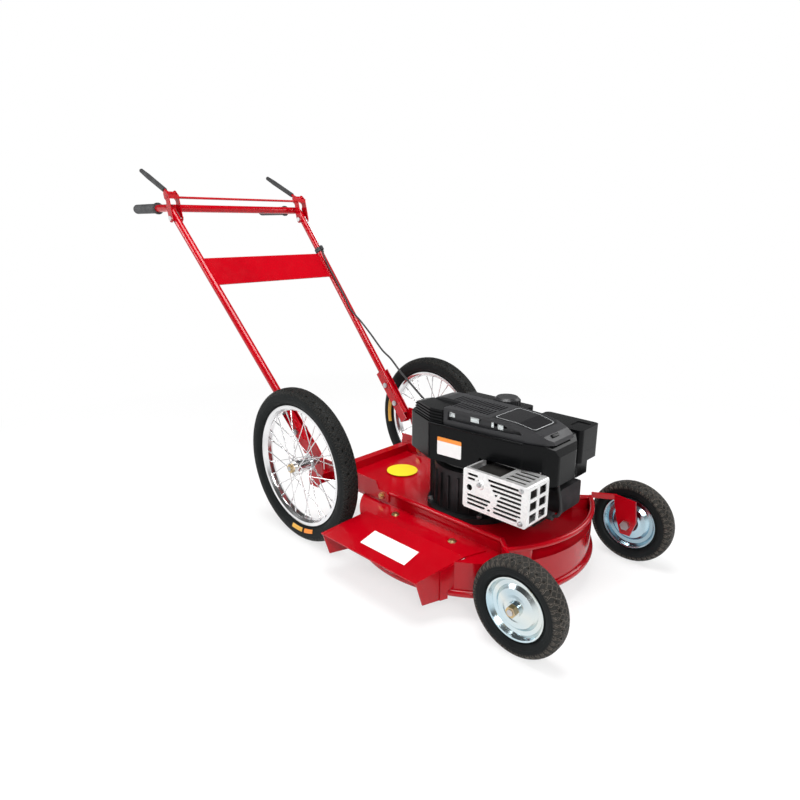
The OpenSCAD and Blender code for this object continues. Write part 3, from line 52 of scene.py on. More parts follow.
rearRight = jointPlace("rear_wheel_right_spin")
rearLeft = jointPlace("rear_wheel_left_spin")
frontRight = jointPlace("front_wheel_right_spin")
frontLeft = jointPlace("front_wheel_left_spin")
crank = jointPlace("blade_spin")
axleX = rearRight.x                       # over the rear axle
middleY = (rearRight.y + rearLeft.y) / 2  # the mower's own centre plane


# points and outlines are in millimetres, all other sizes in metres
def spot(x, y, z):
    # from the ground under the rear axle, as the mower is drawn
    return Vector((axleX + x / 1000, middleY + y / 1000, z / 1000))


class Wire:
    # a socket that sums, differences and products can be written with
    def __init__(self, finish, socket):
        self.finish = finish
        self.socket = socket

    def __add__(self, other): return self.finish.math("ADD", self, other)
    def __radd__(self, other): return self.finish.math("ADD", other, self)
    def __sub__(self, other): return self.finish.math("SUBTRACT", self, other)
    def __rsub__(self, other): return self.finish.math("SUBTRACT", other, self)
    def __mul__(self, other): return self.finish.math("MULTIPLY", self, other)
    def __rmul__(self, other): return self.finish.math("MULTIPLY", other, self)


class Finish:
    # one material, or the world, built node by node
    def __init__(self, name, store=bpy.data.materials, ending="ShaderNodeOutputMaterial"):
        self.block = store.new(name)
        self.block.use_nodes = True
        self.tree = self.block.node_tree
        self.tree.nodes.clear()
        self.surface = self.tree.nodes.new(ending).inputs["Surface"]

    def add(self, kind, settings=None, inputs=None, out=0):
        # settings first, then the values or links of the sockets
        node = self.tree.nodes.new(kind)
        for key, value in (settings or {}).items():
            if key == "stops":
                ramp = node.color_ramp
                while len(ramp.elements) < len(value):
                    ramp.elements.new(0.5)
                for stop, (place, tone) in zip(ramp.elements, value):
                    stop.position = place
                    stop.color = (*tone, 1)
            else:
                setattr(node, key, value)
        for key, value in (inputs or {}).items():
            socket = node.inputs[key]
            if isinstance(value, Wire):
                self.tree.links.new(value.socket, socket)
            else:
                socket.default_value = value
        return Wire(self, node.outputs[out])

    def place(self, centre=(0, 0, 0), turn=(0, 0, 0), size=(1, 1, 1)):
        # object coordinates, moved to a centre, turned and stretched
        where = self.add("ShaderNodeTexCoord", out="Object")
        moved = self.add("ShaderNodeVectorMath", {"operation": "SUBTRACT"},
                         {0: where, 1: tuple(centre)})
        return self.add("ShaderNodeMapping", {}, {"Vector": moved, "Rotation": turn, "Scale": size})

    def math(self, operation, *values):
        return self.add("ShaderNodeMath", {"operation": operation}, dict(enumerate(values)))

    def noise(self, where, size, detail=3.0, rough=0.5):
        return self.add("ShaderNodeTexNoise", {},
                        {"Vector": where, "Scale": size, "Detail": detail, "Roughness": rough})

    def ramp(self, value, low, high, first=0.0, last=1.0):
        return self.add("ShaderNodeMapRange", {"clamp": True},
                        {"Value": value, "From Min": low, "From Max": high,
                         "To Min": first, "To Max": last})

    def tint(self, mask, first, second):
        # the first colour where the mask is 0, the second where it is 1
        colours = [(*tone, 1) if isinstance(tone, tuple) else tone for tone in (first, second)]
        return self.add("ShaderNodeMix", {"data_type": "RGBA"},
                        {0: mask, 6: colours[0], 7: colours[1]}, out=2)

    def split(self, where):
        parts = self.add("ShaderNodeSeparateXYZ", {}, {0: where}).socket.node
        return [Wire(self, output) for output in parts.outputs]

    def bump(self, height, depth, strength=1.0, under=None):
        inputs = {"Height": height, "Distance": depth, "Strength": strength}
        if under:
            inputs["Normal"] = under
        return self.add("ShaderNodeBump", {}, inputs)

    def close(self, shader):
        self.tree.links.new(shader.socket, self.surface)
        return self.block

    def shade(self, **values):
        # the sockets' names are written with _ for a space
        named = {key.replace("_", " "): value for key, value in values.items()}
        return self.close(self.add("ShaderNodeBsdfPrincipled", {}, named))


paint = {"bright": (0.44, 0.0, 0.006), "deep": (0.26, 0.0, 0.004), "roughness": 0.13, "peel": 0.00002}


def redPaint():
    # powder coat over steel: slow tone drift, orange peel, fine dust
    f = Finish("redPaint")
    here = f.place()
    drift = f.ramp(f.noise(here, 5.0, 2.0), 0.35, 0.65)
    dustAndEdgeHighlight = f.ramp(f.noise(here, 420.0, 2.0), 0.68, 0.78)
    tone = f.tint(drift * 0.35, paint["bright"], paint["deep"])
    tone = f.tint(dustAndEdgeHighlight * 0.05, tone, (0.75, 0.30, 0.30))
    smear = f.ramp(f.noise(here, 38.0, 4.0), 0.4, 0.7)
    skin = f.bump(f.noise(here, 420.0, 1.0), paint["peel"], 0.2)
    return f.shade(Base_Color=tone, Roughness=paint["roughness"] + smear * 0.08 + dustAndEdgeHighlight * 0.15,
                   Specular_IOR_Level=0.4, Normal=skin)


# side and worn are the rubber's own tones; the third colour is a painted highlight for the lugs'
# edges
rubber = {"side": (0.0050, 0.0065, 0.0070), "worn": (0.011, 0.013, 0.013), "lug": (0.36, 0.31, 0.26)}
tread = {"deep": 0.0035, "foot": 0.015, "top": 0.010,
         "ringPitch": 0.0045, "ringDeep": 0.0006, "grainDeep": 0.0002}
# the last value of each tyre sets how strong the painted highlight on its lugs' edges is
rearTread = {"radius": 0.202, "wall": 0.164, "lugs": 44.0, "slant": 190.0, "dustAndEdgeHighlight": 0.22}
frontTread = {"radius": 0.100, "wall": 0.068, "lugs": 22.0, "slant": 170.0, "dustAndEdgeHighlight": 1.0}


def tyreRubber(name, centre, radius, wall, lugs, slant, dustAndEdgeHighlight):
    # moulded rings on the sidewall and crossing lugs on the crown, about the wheel's own axle; a pale
    # brown-grey painted highlight lies along the lugs' edges
    f = Finish(name)
    here = f.place(centre)
    x, y, z = f.split(here)
    reach = f.math("SQRT", x * x + z * z)
    bearing = f.math("ARCTAN2", x, z)
    grain = f.noise(here, 260.0, 4.0)
    blotch = f.noise(here, 16.0, 3.0)
    left = f.math("ABSOLUTE", f.math("SINE", bearing * lugs + y * slant))
    right = f.math("ABSOLUTE", f.math("SINE", bearing * lugs - y * slant))
    raised = f.ramp(f.math("MINIMUM", left, right), 0.10, 0.42)
    crown = f.ramp(reach, radius - tread["foot"], radius - tread["top"])
    rings = f.math("SINE", reach * (2 * pi / tread["ringPitch"]))
    side = f.ramp(reach, wall, wall + 0.006) * (1 - f.ramp(reach, radius - 0.022, radius - 0.016))
    tone = f.tint(f.ramp(blotch, 0.3, 0.7) * 0.5, rubber["side"], rubber["worn"])
    # painted highlight: the lugs' edges on the crown turn pale brown-grey, a little blotchy
    edgeHighlight = crown * f.ramp(raised, 0.05, 0.5) * (1 - f.ramp(raised, 0.45, 1.0) * 0.94)
    tone = f.tint(edgeHighlight * f.ramp(blotch, 0.2, 0.8, 0.6, 1.0) * dustAndEdgeHighlight, tone, rubber["lug"])
    skin = f.bump(raised * crown, tread["deep"], 0.9)
    skin = f.bump(f.ramp(rings, 0.2, 0.9) * side, tread["ringDeep"], 0.7, skin)
    skin = f.bump(grain, tread["grainDeep"], 0.4, skin)
    return f.shade(Base_Color=tone, Roughness=0.5 + grain * 0.16, Specular_IOR_Level=0.14,
                   Normal=skin)


def chrome():
    # polished plate with a slow haze
    f = Finish("brightSteel")
    here = f.place()
    haze = f.ramp(f.noise(here, 14.0, 2.0), 0.3, 0.7)
    tone = (0.86, 0.86, 0.87)
    colour = f.tint(haze, tone, tuple(c * 0.84 for c in tone))
    return f.shade(Base_Color=colour, Metallic=1.0, Roughness=0.14 + haze * 0.1,
                   Normal=f.bump(f.noise(here, 300.0, 1.0), 0.00001, 0.2))


def platedDisc():
    # clear zinc plate with its blue and straw bloom
    f = Finish("platedDisc")
    here = f.place()
    bloom = f.noise(here, 7.0, 1.5, 0.5)
    stops = [(0.32, (0.34, 0.52, 0.62)), (0.48, (0.56, 0.70, 0.76)),
             (0.62, (0.70, 0.74, 0.72)), (0.75, (0.42, 0.56, 0.64))]
    tone = f.add("ShaderNodeValToRGB", {"stops": stops}, {"Fac": bloom})
    return f.shade(Base_Color=tone, Metallic=1.0, Roughness=0.13 + bloom * 0.1,
                   Normal=f.bump(f.noise(here, 30.0, 1.0), 0.00006, 0.25))


def plainSteel():
    # ground bar, with its grain along one way
    f = Finish("plainSteel")
    here = f.place()
    grain = f.noise(f.place(size=(1, 1, 14)), 90.0, 4.0)
    tone = f.tint(f.ramp(f.noise(here, 40.0), 0.4, 0.7), (0.56, 0.56, 0.57), (0.40, 0.40, 0.41))
    return f.shade(Base_Color=tone, Metallic=1.0, Roughness=0.28 + grain * 0.2,
                   Normal=f.bump(grain, 0.00005, 0.4))


def yellowZinc():
    f = Finish("yellowZinc")
    here = f.place()
    bloom = f.noise(here, 70.0, 3.0)
    tone = f.tint(f.ramp(bloom, 0.35, 0.65), (0.62, 0.44, 0.18), (0.50, 0.40, 0.28))
    return f.shade(Base_Color=tone, Metallic=1.0, Roughness=0.26 + bloom * 0.12,
                   Normal=f.bump(bloom, 0.0001, 0.3))


def glossBlack():
    # moulded nylon: mirror-like with slow waves and a few hairline scuffs
    f = Finish("glossBlack")
    here = f.place()
    waves = f.noise(here, 13.0, 1.0)
    scuff = f.ramp(f.noise(f.place(turn=(0.3, 0.5, 0.2), size=(4, 60, 12)), 7.0, 3.0), 0.70, 0.76)
    tone = f.tint(scuff * 0.12, (0.0035, 0.0038, 0.0042), (0.04, 0.04, 0.042))
    skin = f.bump(waves, 0.0010, 0.2)
    skin = f.bump(f.noise(here, 800.0, 2.0), 0.00003, 0.3, skin)
    return f.shade(Base_Color=tone, Roughness=0.17 + scuff * 0.15 + waves * 0.06,
                   Specular_IOR_Level=0.12, Normal=skin)


def darkPlastic():
    # spark-etched mould grain
    f = Finish("darkPlastic")
    here = f.place()
    grain = f.add("ShaderNodeTexVoronoi", {"feature": "F1"}, {"Vector": here, "Scale": 900.0})
    blotch = f.ramp(f.noise(here, 20.0, 3.0), 0.35, 0.7)
    colour = f.tint(blotch * 0.5, (0.016, 0.016, 0.018), (0.034, 0.034, 0.036))
    return f.shade(Base_Color=colour, Roughness=0.34 + blotch * 0.1, Specular_IOR_Level=0.4,
                   Normal=f.bump(grain, 0.0002, 0.4))


def softRubber(name, tone):
    f = Finish(name)
    here = f.place()
    grain = f.noise(here, 500.0, 3.0)
    worn = tuple(c * 1.7 + 0.01 for c in tone)
    colour = f.tint(f.ramp(f.noise(here, 35.0), 0.3, 0.7), tone, worn)
    return f.shade(Base_Color=colour, Roughness=0.6 + grain * 0.15,
                   Normal=f.bump(grain, 0.00015, 0.5))


def castMetal(name, tone, dark):
    f = Finish(name)
    here = f.place()
    sand = f.noise(here, 420.0, 5.0, 0.65)
    soot = f.ramp(f.noise(here, 18.0, 3.0), 0.35, 0.7)
    return f.shade(Base_Color=f.tint(soot, tone, dark), Metallic=0.85, Roughness=0.45 + sand * 0.2,
                   Normal=f.bump(sand, 0.0004, 0.5))


def guardMetal():
    # aluminised sheet: bright, with a fine spangle
    f = Finish("guardMetal")
    here = f.place()
    spangle = f.add("ShaderNodeTexVoronoi", {"feature": "F1"}, {"Vector": here, "Scale": 210.0},
                    "Color")
    grey = f.add("ShaderNodeRGBToBW", {}, {"Color": spangle})
    tone = f.tint(grey, (0.80, 0.80, 0.80), (0.92, 0.92, 0.91))
    return f.shade(Base_Color=tone, Metallic=0.75, Roughness=0.3 + grey * 0.12,
                   Normal=f.bump(grey, 0.00006, 0.3))


def filterPaper():
    f = Finish("filterPaper")
    fibre = f.noise(f.place(size=(1, 1, 6)), 300.0, 5.0)
    tone = f.tint(fibre, (0.72, 0.62, 0.40), (0.82, 0.75, 0.56))
    return f.shade(Base_Color=tone, Roughness=0.85, Normal=f.bump(fibre, 0.0003, 0.6))


def stickerFilm(name, tone, second=None, split=None):
    # printed film with a satin face; a second colour fills it above a height
    f = Finish(name)
    here = f.place()
    fine = f.noise(here, 600.0, 2.0)
    shaded = tuple(c * 0.86 for c in tone)
    colour = f.tint(f.ramp(f.noise(here, 60.0), 0.4, 0.7) * 0.25, tone, shaded)
    if second:
        height = f.split(here)[2]
        colour = f.tint(f.ramp(height, split - 0.0004, split + 0.0004), colour, second)
    return f.shade(Base_Color=colour, Roughness=0.35 + fine * 0.1,
                   Normal=f.bump(fine, 0.00003, 0.3))


print("finishes")
finishes = {
    "redPaint": redPaint(), "brightSteel": chrome(),
    "platedDisc": platedDisc(), "plainSteel": plainSteel(), "yellowZinc": yellowZinc(),
    "glossBlack": glossBlack(), "darkPlastic": darkPlastic(),
    "gripRubber": softRubber("gripRubber", (0.030, 0.031, 0.033)),
    "sleeveRubber": softRubber("sleeveRubber", (0.02, 0.02, 0.021)),
    "cableSkin": softRubber("cableSkin", (0.015, 0.015, 0.016)),
    "castAlloy": castMetal("castAlloy", (0.055, 0.055, 0.058), (0.020, 0.020, 0.021)),
    "castIron": castMetal("castIron", (0.10, 0.10, 0.10), (0.04, 0.04, 0.04)),
    "sootSteel": castMetal("sootSteel", (0.05, 0.048, 0.045), (0.018, 0.016, 0.015)),
    "guardMetal": guardMetal(), "filterPaper": filterPaper(),
    "rearRubberRight": tyreRubber("rearRubberRight", rearRight, **rearTread),
    "rearRubberLeft": tyreRubber("rearRubberLeft", rearLeft, **rearTread),
    "frontRubberRight": tyreRubber("frontRubberRight", frontRight, **frontTread),
    "frontRubberLeft": tyreRubber("frontRubberLeft", frontLeft, **frontTread),
}

nodeFinish = {
    "redPaint": ["deck_shell", "rear_frame", "discharge_chute", "front_arms", "handle_tube_right",
                 "handle_tube_left", "handle_crossbar", "handle_plate", "bail"],
    "brightSteel": ["rear_rim_right", "rear_rim_left", "rear_spokes_right", "rear_spokes_left",
                    "rear_hub_right", "rear_hub_left", "bail_pivots"],
    "platedDisc": ["front_disc_right", "front_disc_left"],
    "plainSteel": ["front_axles", "rear_axles", "handle_bolts", "cable_wire", "engine_bolts",
                   "spark_plug", "brake_lever", "crankshaft", "blade", "blade_bolt"],
    "yellowZinc": ["axle_nuts", "deck_bolts"],
    "glossBlack": ["blower_housing", "fuel_tank", "air_filter_cover", "air_filter_base"],
    "darkPlastic": ["top_cover", "fuel_cap", "starter_cup", "starter_grip", "oil_tube", "dipstick"],
    "gripRubber": ["handle_grips"], "sleeveRubber": ["bail_sleeves"],
    "cableSkin": ["cable_jacket", "plug_lead", "cable_anchor"],
    "castAlloy": ["crankcase", "cylinder", "cylinder_head", "carburettor"],
    "castIron": ["flywheel", "blade_adapter"], "sootSteel": ["muffler"],
    "guardMetal": ["muffler_guard"], "filterPaper": ["air_filter_element"],
    "rearRubberRight": ["rear_tyre_right"], "rearRubberLeft": ["rear_tyre_left"],
    "frontRubberRight": ["front_tyre_right"], "frontRubberLeft": ["front_tyre_left"],
}
for finishName, nodes in nodeFinish.items():
    for node in nodes:
        body = frame["nodes"][node]
        body.data.materials.clear()
        body.data.materials.append(finishes[finishName])


def deselectAll():
    if bpy.context.object and bpy.context.object.mode == "EDIT":
        bpy.ops.object.mode_set(mode="OBJECT")
    bpy.ops.object.select_all(action="DESELECT")


def settle(piece, name, material, body=None):
    # place in the mesh, object at the origin, soft shading; it rides on a body if one is named
    deselectAll()
    piece.select_set(True)
    bpy.context.view_layer.objects.active = piece
    bpy.ops.object.transform_apply(location=True, rotation=True, scale=True)
    bpy.ops.object.shade_smooth_by_angle(angle=radians(30))
    piece.name = name
    piece.data.name = name
    piece.data.materials.clear()
    piece.data.materials.append(finishes[material])
    if body:
        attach(piece, body)


def modify(piece, kind, **settings):
    # a modifier, set and applied
    modifier = piece.modifiers.new(kind.lower(), kind)
    for key, value in settings.items():
        setattr(modifier, key, value)
    bpy.ops.object.modifier_apply(modifier=modifier.name)


def roundEdges(offset, segments):
    # every edge of the active piece
    bpy.ops.object.mode_set(mode="EDIT")
    bpy.ops.mesh.select_all(action="SELECT")
    bpy.ops.mesh.bevel(offset=offset, segments=segments)
    bpy.ops.object.mode_set(mode="OBJECT")


def faceOutwards():
    # out of edit mode, with all normals set outwards
    bpy.ops.mesh.select_all(action="SELECT")
    bpy.ops.mesh.normals_make_consistent(inside=False)
    bpy.ops.object.mode_set(mode="OBJECT")


def turnTo(normal, up=(0, 0, 1)):
    # rotation whose z axis is the normal and whose y axis leans to up
    zAxis = Vector(normal).normalized()
    xAxis = Vector(up).cross(zAxis).normalized()
    yAxis = zAxis.cross(xAxis)
    return Matrix((xAxis, yAxis, zAxis)).transposed().to_4x4()


def badge(name, label):
    # a flat label: a plane with rounded corners, given the film's thickness
    deselectAll()
    bpy.ops.mesh.primitive_plane_add(size=1)
    piece = bpy.context.object
    piece.scale = (*label["size"], 1)
    bpy.ops.object.transform_apply(scale=True)
    bpy.ops.object.mode_set(mode="EDIT")
    bpy.ops.mesh.select_all(action="SELECT")
    bpy.ops.mesh.bevel(affect="VERTICES", offset=label["corner"], segments=label["segments"])
    bpy.ops.mesh.extrude_region_move(TRANSFORM_OT_translate={"value": (0, 0, filmThick)})
    faceOutwards()
    normal = Vector(label["faces"]).normalized()
    middle = spot(*label["middle"]) + normal * label["lift"]
    piece.matrix_world = Matrix.Translation(middle) @ turnTo(normal, label["up"])
    settle(piece, name, label["film"], "chassis")


def chain(points):
    # a vertex drawn out from point to point, left in edit mode with all selected
    deselectAll()
    bpy.ops.mesh.primitive_plane_add(size=0.002)
    piece = bpy.context.object
    bpy.ops.object.mode_set(mode="EDIT")
    bpy.ops.mesh.select_all(action="SELECT")
    bpy.ops.mesh.merge(type="CENTER")
    bpy.ops.transform.translate(value=points[0])
    for near, far in zip(points, points[1:]):
        step = Vector(far) - Vector(near)
        bpy.ops.mesh.extrude_region_move(TRANSFORM_OT_translate={"value": step})
    bpy.ops.mesh.select_all(action="SELECT")
    return piece


def turnedFilm(name, profile, centre, axis, angle, material, body):
    # a profile swept part of the way round an axis, given the film's thickness
    piece = chain(profile)
    bpy.ops.mesh.spin(steps=10, angle=angle, center=centre, axis=axis)
    bpy.ops.mesh.select_all(action="SELECT")
    bpy.ops.mesh.remove_doubles(threshold=0.00001)
    faceOutwards()
    modify(piece, "SOLIDIFY", thickness=filmThick, offset=0)
    settle(piece, name, material, body)


print("stage")
# the camera; turn and down are in degrees
view = {"place": (1197.2, -1114.4, 793.6), "turn": 44.44, "down": 16.07, "lens": 27.36}
bpy.ops.object.camera_add(location=spot(*view["place"]),
                          rotation=(radians(90 - view["down"]), 0, radians(view["turn"])))
camera = bpy.context.object
camera.data.lens = view["lens"]
camera.data.sensor_width = 36
bpy.context.scene.camera = camera

# the floor sheet; near and far each hold a distance and the share of white that is its own
sheet = {"size": 60, "middle": (150, 0, 0), "near": (0.75, 0.66), "far": (1.9, 1.0)}


def floorFinish():
    # near the mower part of its brightness takes the shadow, far out it is plain white
    f = Finish("paperWhite")
    grain = f.noise(f.place(), 30.0, 2.0)
    tone = f.tint(grain, (0.90, 0.90, 0.90), (0.93, 0.93, 0.93))
    plain = f.add("ShaderNodeBsdfDiffuse", {}, {"Color": tone})
    glow = f.add("ShaderNodeEmission", {}, {"Color": (1, 1, 1, 1), "Strength": 1.0})
    seen = (f.add("ShaderNodeLightPath", out="Is Camera Ray")
            + f.add("ShaderNodeLightPath", out="Is Glossy Ray")
            + f.add("ShaderNodeLightPath", out="Is Transmission Ray"))
    away = f.add("ShaderNodeVectorMath", {"operation": "LENGTH"},
                 {0: f.place(spot(*sheet["middle"]))}, "Value")
    (nearBy, nearShare), (farOut, farShare) = sheet["near"], sheet["far"]
    share = f.ramp(seen, 0, 1) * f.ramp(away, nearBy, farOut, nearShare, farShare)
    return f.close(f.add("ShaderNodeMixShader", {}, {0: share, 1: plain, 2: glow}))


deselectAll()
bpy.ops.mesh.primitive_plane_add(size=sheet["size"], location=(0, 0, 0))
floor = bpy.context.object
floor.name = "floorSheet"
floor.data.materials.append(floorFinish())

# fill lights dull surfaces; low and high each hold a height and how white mirrors see it there
studio = {"fill": 0.34, "low": (0.03, 1.0), "high": (0.34, 0.06)}


def studioLight():
    # white to the eye; mirrored surfaces see white low down and a dim ceiling
    f = Finish("studio", bpy.data.worlds, "ShaderNodeOutputWorld")
    eye = f.add("ShaderNodeLightPath", out="Is Camera Ray")
    through = f.add("ShaderNodeLightPath", out="Is Transmission Ray")
    mirror = f.add("ShaderNodeLightPath", out="Is Glossy Ray")
    heading = f.split(f.add("ShaderNodeTexCoord", out="Generated"))[2]
    (lowEnd, lowShare), (highEnd, highShare) = studio["low"], studio["high"]
    mirrored = f.ramp(heading, lowEnd, highEnd, lowShare, highShare) * mirror
    white = f.math("MAXIMUM", mirrored, f.math("MAXIMUM", eye, through))
    share = f.math("MAXIMUM", studio["fill"] - mirror * studio["fill"], white)
    dark = f.add("ShaderNodeBackground", {}, {"Color": (0, 0, 0, 1)})
    bright = f.add("ShaderNodeBackground", {}, {"Color": (1, 1, 1, 1)})
    return f.close(f.add("ShaderNodeMixShader", {}, {0: share, 1: dark, 2: bright}))


bpy.context.scene.world = studioLight()

lamps = {
    "overhead": {"place": (300, -200, 2500), "aim": (200, 0, 300), "size": 1.3, "power": 50},
    "key": {"place": (2200, -1700, 1900), "aim": (250, 0, 300), "size": 0.9, "power": 40},
    "side": {"place": (-1600, -1900, 1500), "aim": (0, 0, 350), "size": 0.9, "power": 24},
    "behind": {"place": (1300, 2300, 1800), "aim": (100, 0, 350), "size": 1.3, "power": 22},
}
for lampName, lamp in lamps.items():
    aim = spot(*lamp["aim"]) - spot(*lamp["place"])
    bpy.ops.object.light_add(type="AREA", location=spot(*lamp["place"]),
                             rotation=aim.to_track_quat("-Z", "Y").to_euler())
    light = bpy.context.object
    light.name = lampName + "Lamp"
    light.data.size = lamp["size"]
    light.data.energy = lamp["power"]
bpy.context.scene.view_settings.view_transform = "Standard"

print("labels")
filmThick = 0.0003
labels = {
    "chuteLabel": {"middle": (345.8, -281, 114.6), "faces": (0, -29, 115), "up": (0, 1, 0.2),
                   "lift": 0.0002, "size": (0.137, 0.047), "corner": 0.002, "segments": 6,
                   "film": "whiteFilm"},
    "housingLabel": {"middle": (374.5, -117.5, 310), "faces": (24, -238, 0), "up": (0, 0, 1),
                     "lift": 0, "size": (0.065, 0.042), "corner": 0.003, "segments": 6,
                     "film": "warningFilm"},
    "trayLabel": {"middle": (90, 24, 131.2), "faces": (0, 0, 1), "up": (0, 1, 0),
                  "lift": 0, "size": (0.086, 0.086), "corner": 0.0429, "segments": 12,
                  "film": "yellowFilm"},
}
orangeFrom = spot(0, 0, 321.5).z  # height where the housing's label turns orange
finishes["whiteFilm"] = stickerFilm("whiteFilm", (0.86, 0.86, 0.85))
finishes["yellowFilm"] = stickerFilm("yellowFilm", (0.90, 0.72, 0.02))
finishes["warningFilm"] = stickerFilm("warningFilm", (0.86, 0.86, 0.85), (0.86, 0.28, 0.03),
                                      orangeFrom)
finishes["goldFilm"] = stickerFilm("goldFilm", (0.72, 0.38, 0.05))
finishes["orangeFilm"] = stickerFilm("orangeFilm", (0.80, 0.24, 0.02))
for name, label in labels.items():
    badge(name, label)

rearTyre = {"low": 0.1595, "high": 0.202, "half": 0.0235, "power": 0.82}


def sidewall(reach):
    # half width of the rear tyre at a radius
    middle = (rearTyre["low"] + rearTyre["high"]) / 2
    tall = (rearTyre["high"] - rearTyre["low"]) / 2
    across = (abs(reach - middle) / tall) ** (1 / rearTyre["power"])
    return rearTyre["half"] * sqrt(max(0, 1 - across * across)) ** rearTyre["power"]


# paper arcs on the rear tyres: bearings in degrees from straight down, towards the front
arcReach = (0.1660, 0.1685, 0.1710, 0.1735, 0.1758)
arcs = {
    "goldArcRight": {"wheel": rearRight, "body": "rear_wheel_right", "side": -1,
                     "from": 6, "to": 20, "film": "goldFilm"},
    "orangeArcRight": {"wheel": rearRight, "body": "rear_wheel_right", "side": -1,
                       "from": 21, "to": 33, "film": "orangeFilm"},
    "goldArcLeft": {"wheel": rearLeft, "body": "rear_wheel_left", "side": -1,
                    "from": -79, "to": -52, "film": "goldFilm"},
}
for name, arc in arcs.items():
    start = radians(arc["from"])
    line = []
    for reach in arcReach:
        out = arc["side"] * (sidewall(reach) + filmThick)
        line.append(arc["wheel"] + Vector((reach * sin(start), out, -reach * cos(start))))
    turnedFilm(name, line, arc["wheel"], (0, -1, 0), radians(arc["to"] - arc["from"]),
               arc["film"], arc["body"])

deckTop = 0.128


def onDeck(x, y, z):
    # from the crank's axis and the deck's flat top
    return Vector((crank.x + x / 1000, crank.y + y / 1000, deckTop + z / 1000))


def joined(pieces, name, material, body):
    deselectAll()
    for piece in pieces:
        piece.select_set(True)
    bpy.context.view_layer.objects.active = pieces[0]
    bpy.ops.object.join()
    settle(pieces[0], name, material, body)


def slab(centre, normal, size, rounding, up=(0, 0, 1)):
    # a cuboid with rounded edges; its z side faces the normal
    deselectAll()
    bpy.ops.mesh.primitive_cube_add(size=1)
    piece = bpy.context.object
    piece.scale = size
    bpy.ops.object.transform_apply(scale=True)
    roundEdges(rounding, 3)
    piece.matrix_world = Matrix.Translation(centre) @ turnTo(normal, up)
    return piece


def stud(centre, normal, across, tall, flange):
    # a six-sided head on a round flange, as two pieces
    pieces = []
    for sides, radius, depth, rounding in ((6, across / 2, tall, tall * 0.12),
                                           (32, across / 2 * flange, tall * 0.25, tall * 0.05)):
        deselectAll()
        bpy.ops.mesh.primitive_cylinder_add(vertices=sides, radius=radius, depth=depth,
                                            location=(0, 0, depth / 2))
        piece = bpy.context.object
        roundEdges(rounding, 2)
        piece.matrix_world = Matrix.Translation(centre) @ turnTo(normal) @ piece.matrix_world
        pieces.append(piece)
    return pieces


def panelFilm(width, height):
    # near-black film with a pale line set in from its edge, drawn on the piece's own UV map
    f = Finish("panelFilm")
    u, v = f.split(f.add("ShaderNodeUVMap"))[:2]
    corner = panel["corner"]
    inset = panel["margin"] + corner
    across = f.math("ABSOLUTE", (u - 0.5) * width) - (width / 2 - inset)
    along = f.math("ABSOLUTE", (v - 0.5) * height) - (height / 2 - inset)
    over = f.add("ShaderNodeCombineXYZ", {}, {0: f.ramp(across, 0, 1), 1: f.ramp(along, 0, 1)})
    reach = f.add("ShaderNodeVectorMath", {"operation": "LENGTH"}, {0: over}, "Value")
    inner = f.math("MINIMUM", f.math("MAXIMUM", across, along), 0.0)
    off = f.math("ABSOLUTE", reach + inner - corner)
    line = 1 - f.ramp(off, panel["line"], panel["line"] + 0.0003)
    fine = f.noise(f.place(), 500.0, 2.0)
    tone = f.tint(line, (0.012, 0.012, 0.013), (0.42, 0.43, 0.44))
    return f.shade(Base_Color=tone, Roughness=0.24 + fine * 0.1, Specular_IOR_Level=0.35,
                   Normal=f.bump(fine, 0.00003, 0.3))


print("engine details")
panel = {"back": 112, "front": 214, "side": -43, "wide": 94, "narrow": 78, "thick": 0.0004,
         "margin": 0.004, "corner": 0.008, "line": 0.0005}
panelLong = (panel["front"] - panel["back"]) / 1000
finishes["panelFilm"] = panelFilm(panelLong, (panel["wide"] + panel["narrow"]) / 2000)
finishes["paleResin"] = stickerFilm("paleResin", (0.72, 0.77, 0.77))

# blank bordered panel that follows the top cover's slope
deselectAll()
bpy.ops.mesh.primitive_grid_add(x_subdivisions=51, y_subdivisions=24, size=1)
piece = bpy.context.object
piece.scale = (panelLong, panel["wide"] / 1000, 1)
bpy.ops.object.transform_apply(scale=True)
modify(piece, "SIMPLE_DEFORM", deform_method="TAPER", deform_axis="X",
       factor=(panel["narrow"] - panel["wide"]) / panel["wide"])
piece.location = onDeck((panel["front"] + panel["back"]) / 2, panel["side"], 300)
bpy.ops.object.transform_apply(location=True)
modify(piece, "SHRINKWRAP", target=frame["nodes"]["top_cover"], wrap_method="PROJECT",
       use_project_z=True, use_negative_direction=True, use_positive_direction=False,
       offset=0.0001)
modify(piece, "SOLIDIFY", thickness=panel["thick"], offset=1)
settle(piece, "coverPanel", "panelFilm", "chassis")

# pale inserts in the cover's windows, set in the recess wall; its depth is in millimetres too
wall = {"from": (-42, -123), "to": (196, -99), "depth": 14.3, "thick": 0.0016, "rounding": 0.0004}
# each window's back edge, foot, width and height
windows = ((4, 251, 15, 15), (60, 250, 21, 15), (112, 248, 6, 12), (128, 247, 13, 12))
run = Vector((wall["to"][0] - wall["from"][0], wall["to"][1] - wall["from"][1], 0)).normalized()
outward = Vector((run.y, -run.x, 0))
inserts = []
for back, foot, wide, tall in windows:
    middle = back + wide / 2
    onWall = wall["from"][1] + (middle - wall["from"][0]) * run.y / run.x
    flat = Vector((middle, onWall, foot + tall / 2)) - outward * wall["depth"]
    inserts.append(slab(onDeck(*flat), outward, (wide / 1000, tall / 1000, wall["thick"]),
                        wall["rounding"]))
joined(inserts, "windowInserts", "paleResin", "chassis")

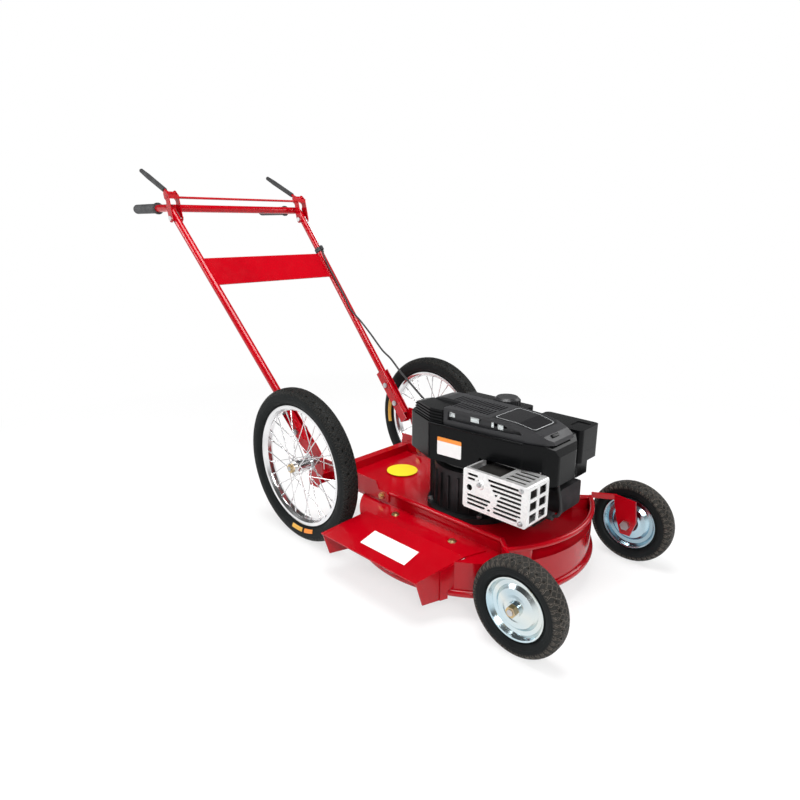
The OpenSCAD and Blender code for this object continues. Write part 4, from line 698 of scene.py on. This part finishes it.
# starter rope out of the housing, as one straight piece
rope = {"from": (-112, 44, 196), "to": (-156, 44, 196), "radius": 0.0019, "rounding": 0.0004}
deselectAll()
bpy.ops.mesh.primitive_cylinder_add(vertices=16, radius=rope["radius"], rotation=(0, pi / 2, 0),
                                    depth=(rope["from"][0] - rope["to"][0]) / 1000)
piece = bpy.context.object
roundEdges(rope["rounding"], 2)
piece.location = (onDeck(*rope["from"]) + onDeck(*rope["to"])) / 2
settle(piece, "starterRope", "gripRubber")
onDeck(rope["from"][0] - 2, 44, 196)
onDeck(rope["to"][0] + 2, 44, 196)
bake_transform(piece)

# screws of the muffler guard
guardScrew = {"across": 0.0085, "tall": 0.0045, "flange": 1.35,
              "places": ((139, -168, 146), (239.5, -165, 163), (241, -165, 92.5))}
screws = []
for place in guardScrew["places"]:
    screws += stud(onDeck(*place), (0, -1, 0), guardScrew["across"], guardScrew["tall"],
                   guardScrew["flange"])
joined(screws, "guardScrews", "plainSteel", "chassis")

# bent plates that carry the chute's end flaps on to the round skirt, over its bead; lean in degrees
plate = {"lean": 18, "thick": 0.0024, "start": 58, "low": 45.5, "bead": 65, "top": 101, "rise": 0.24}
gussets = {
    "chuteGussetFront": {"corner": (469.83, -330), "face": 0.1, "notch": 77, "end": 92},
    "chuteGussetRear": {"corner": (169.83, -330), "face": -2.5, "notch": 91, "end": 106},
}
inward = Vector((sin(radians(plate["lean"])), cos(radians(plate["lean"])), 0))
forward = Vector((inward.y, -inward.x, 0))
for name, gusset in gussets.items():
    near, notch, far = plate["start"], gusset["notch"], gusset["end"]
    outline = []
    for out, up in ((near, plate["low"]), (notch, plate["low"]), (notch, plate["bead"]),
                    (far, plate["bead"]), (far, plate["top"] + plate["rise"] * far),
                    (near, plate["top"] + plate["rise"] * near)):
        flat = Vector((*gusset["corner"], up)) + inward * out + forward * gusset["face"]
        outline.append(spot(*flat))
    piece = chain(outline)
    bpy.ops.mesh.edge_face_add()
    bpy.ops.mesh.extrude_region_move(TRANSFORM_OT_translate={"value": forward * plate["thick"]})
    faceOutwards()
    settle(piece, name, "redPaint", "chassis")

# rounded bead along the housing's shoulder
bead = {"middle": (77, -111.2, 231.6), "run": (238, 24), "section": (0.005, 0.004),
        "rounding": 0.0018}
beadLong = Vector((*bead["run"], 0)).length / 1000
piece = slab(onDeck(*bead["middle"]), outward, (beadLong, *bead["section"]), bead["rounding"])
settle(piece, "shoulderBead", "glossBlack", "chassis")

# latch tab on the slope of the top cover
tab = {"middle": (236.5, -46, 248.6), "faces": (0.62, 0, 0.78), "up": (-0.78, 0, 0.62),
       "size": (0.026, 0.008, 0.004), "rounding": 0.0014}
piece = slab(onDeck(*tab["middle"]), tab["faces"], tab["size"], tab["rounding"], tab["up"])
settle(piece, "coverTabs", "glossBlack", "chassis")
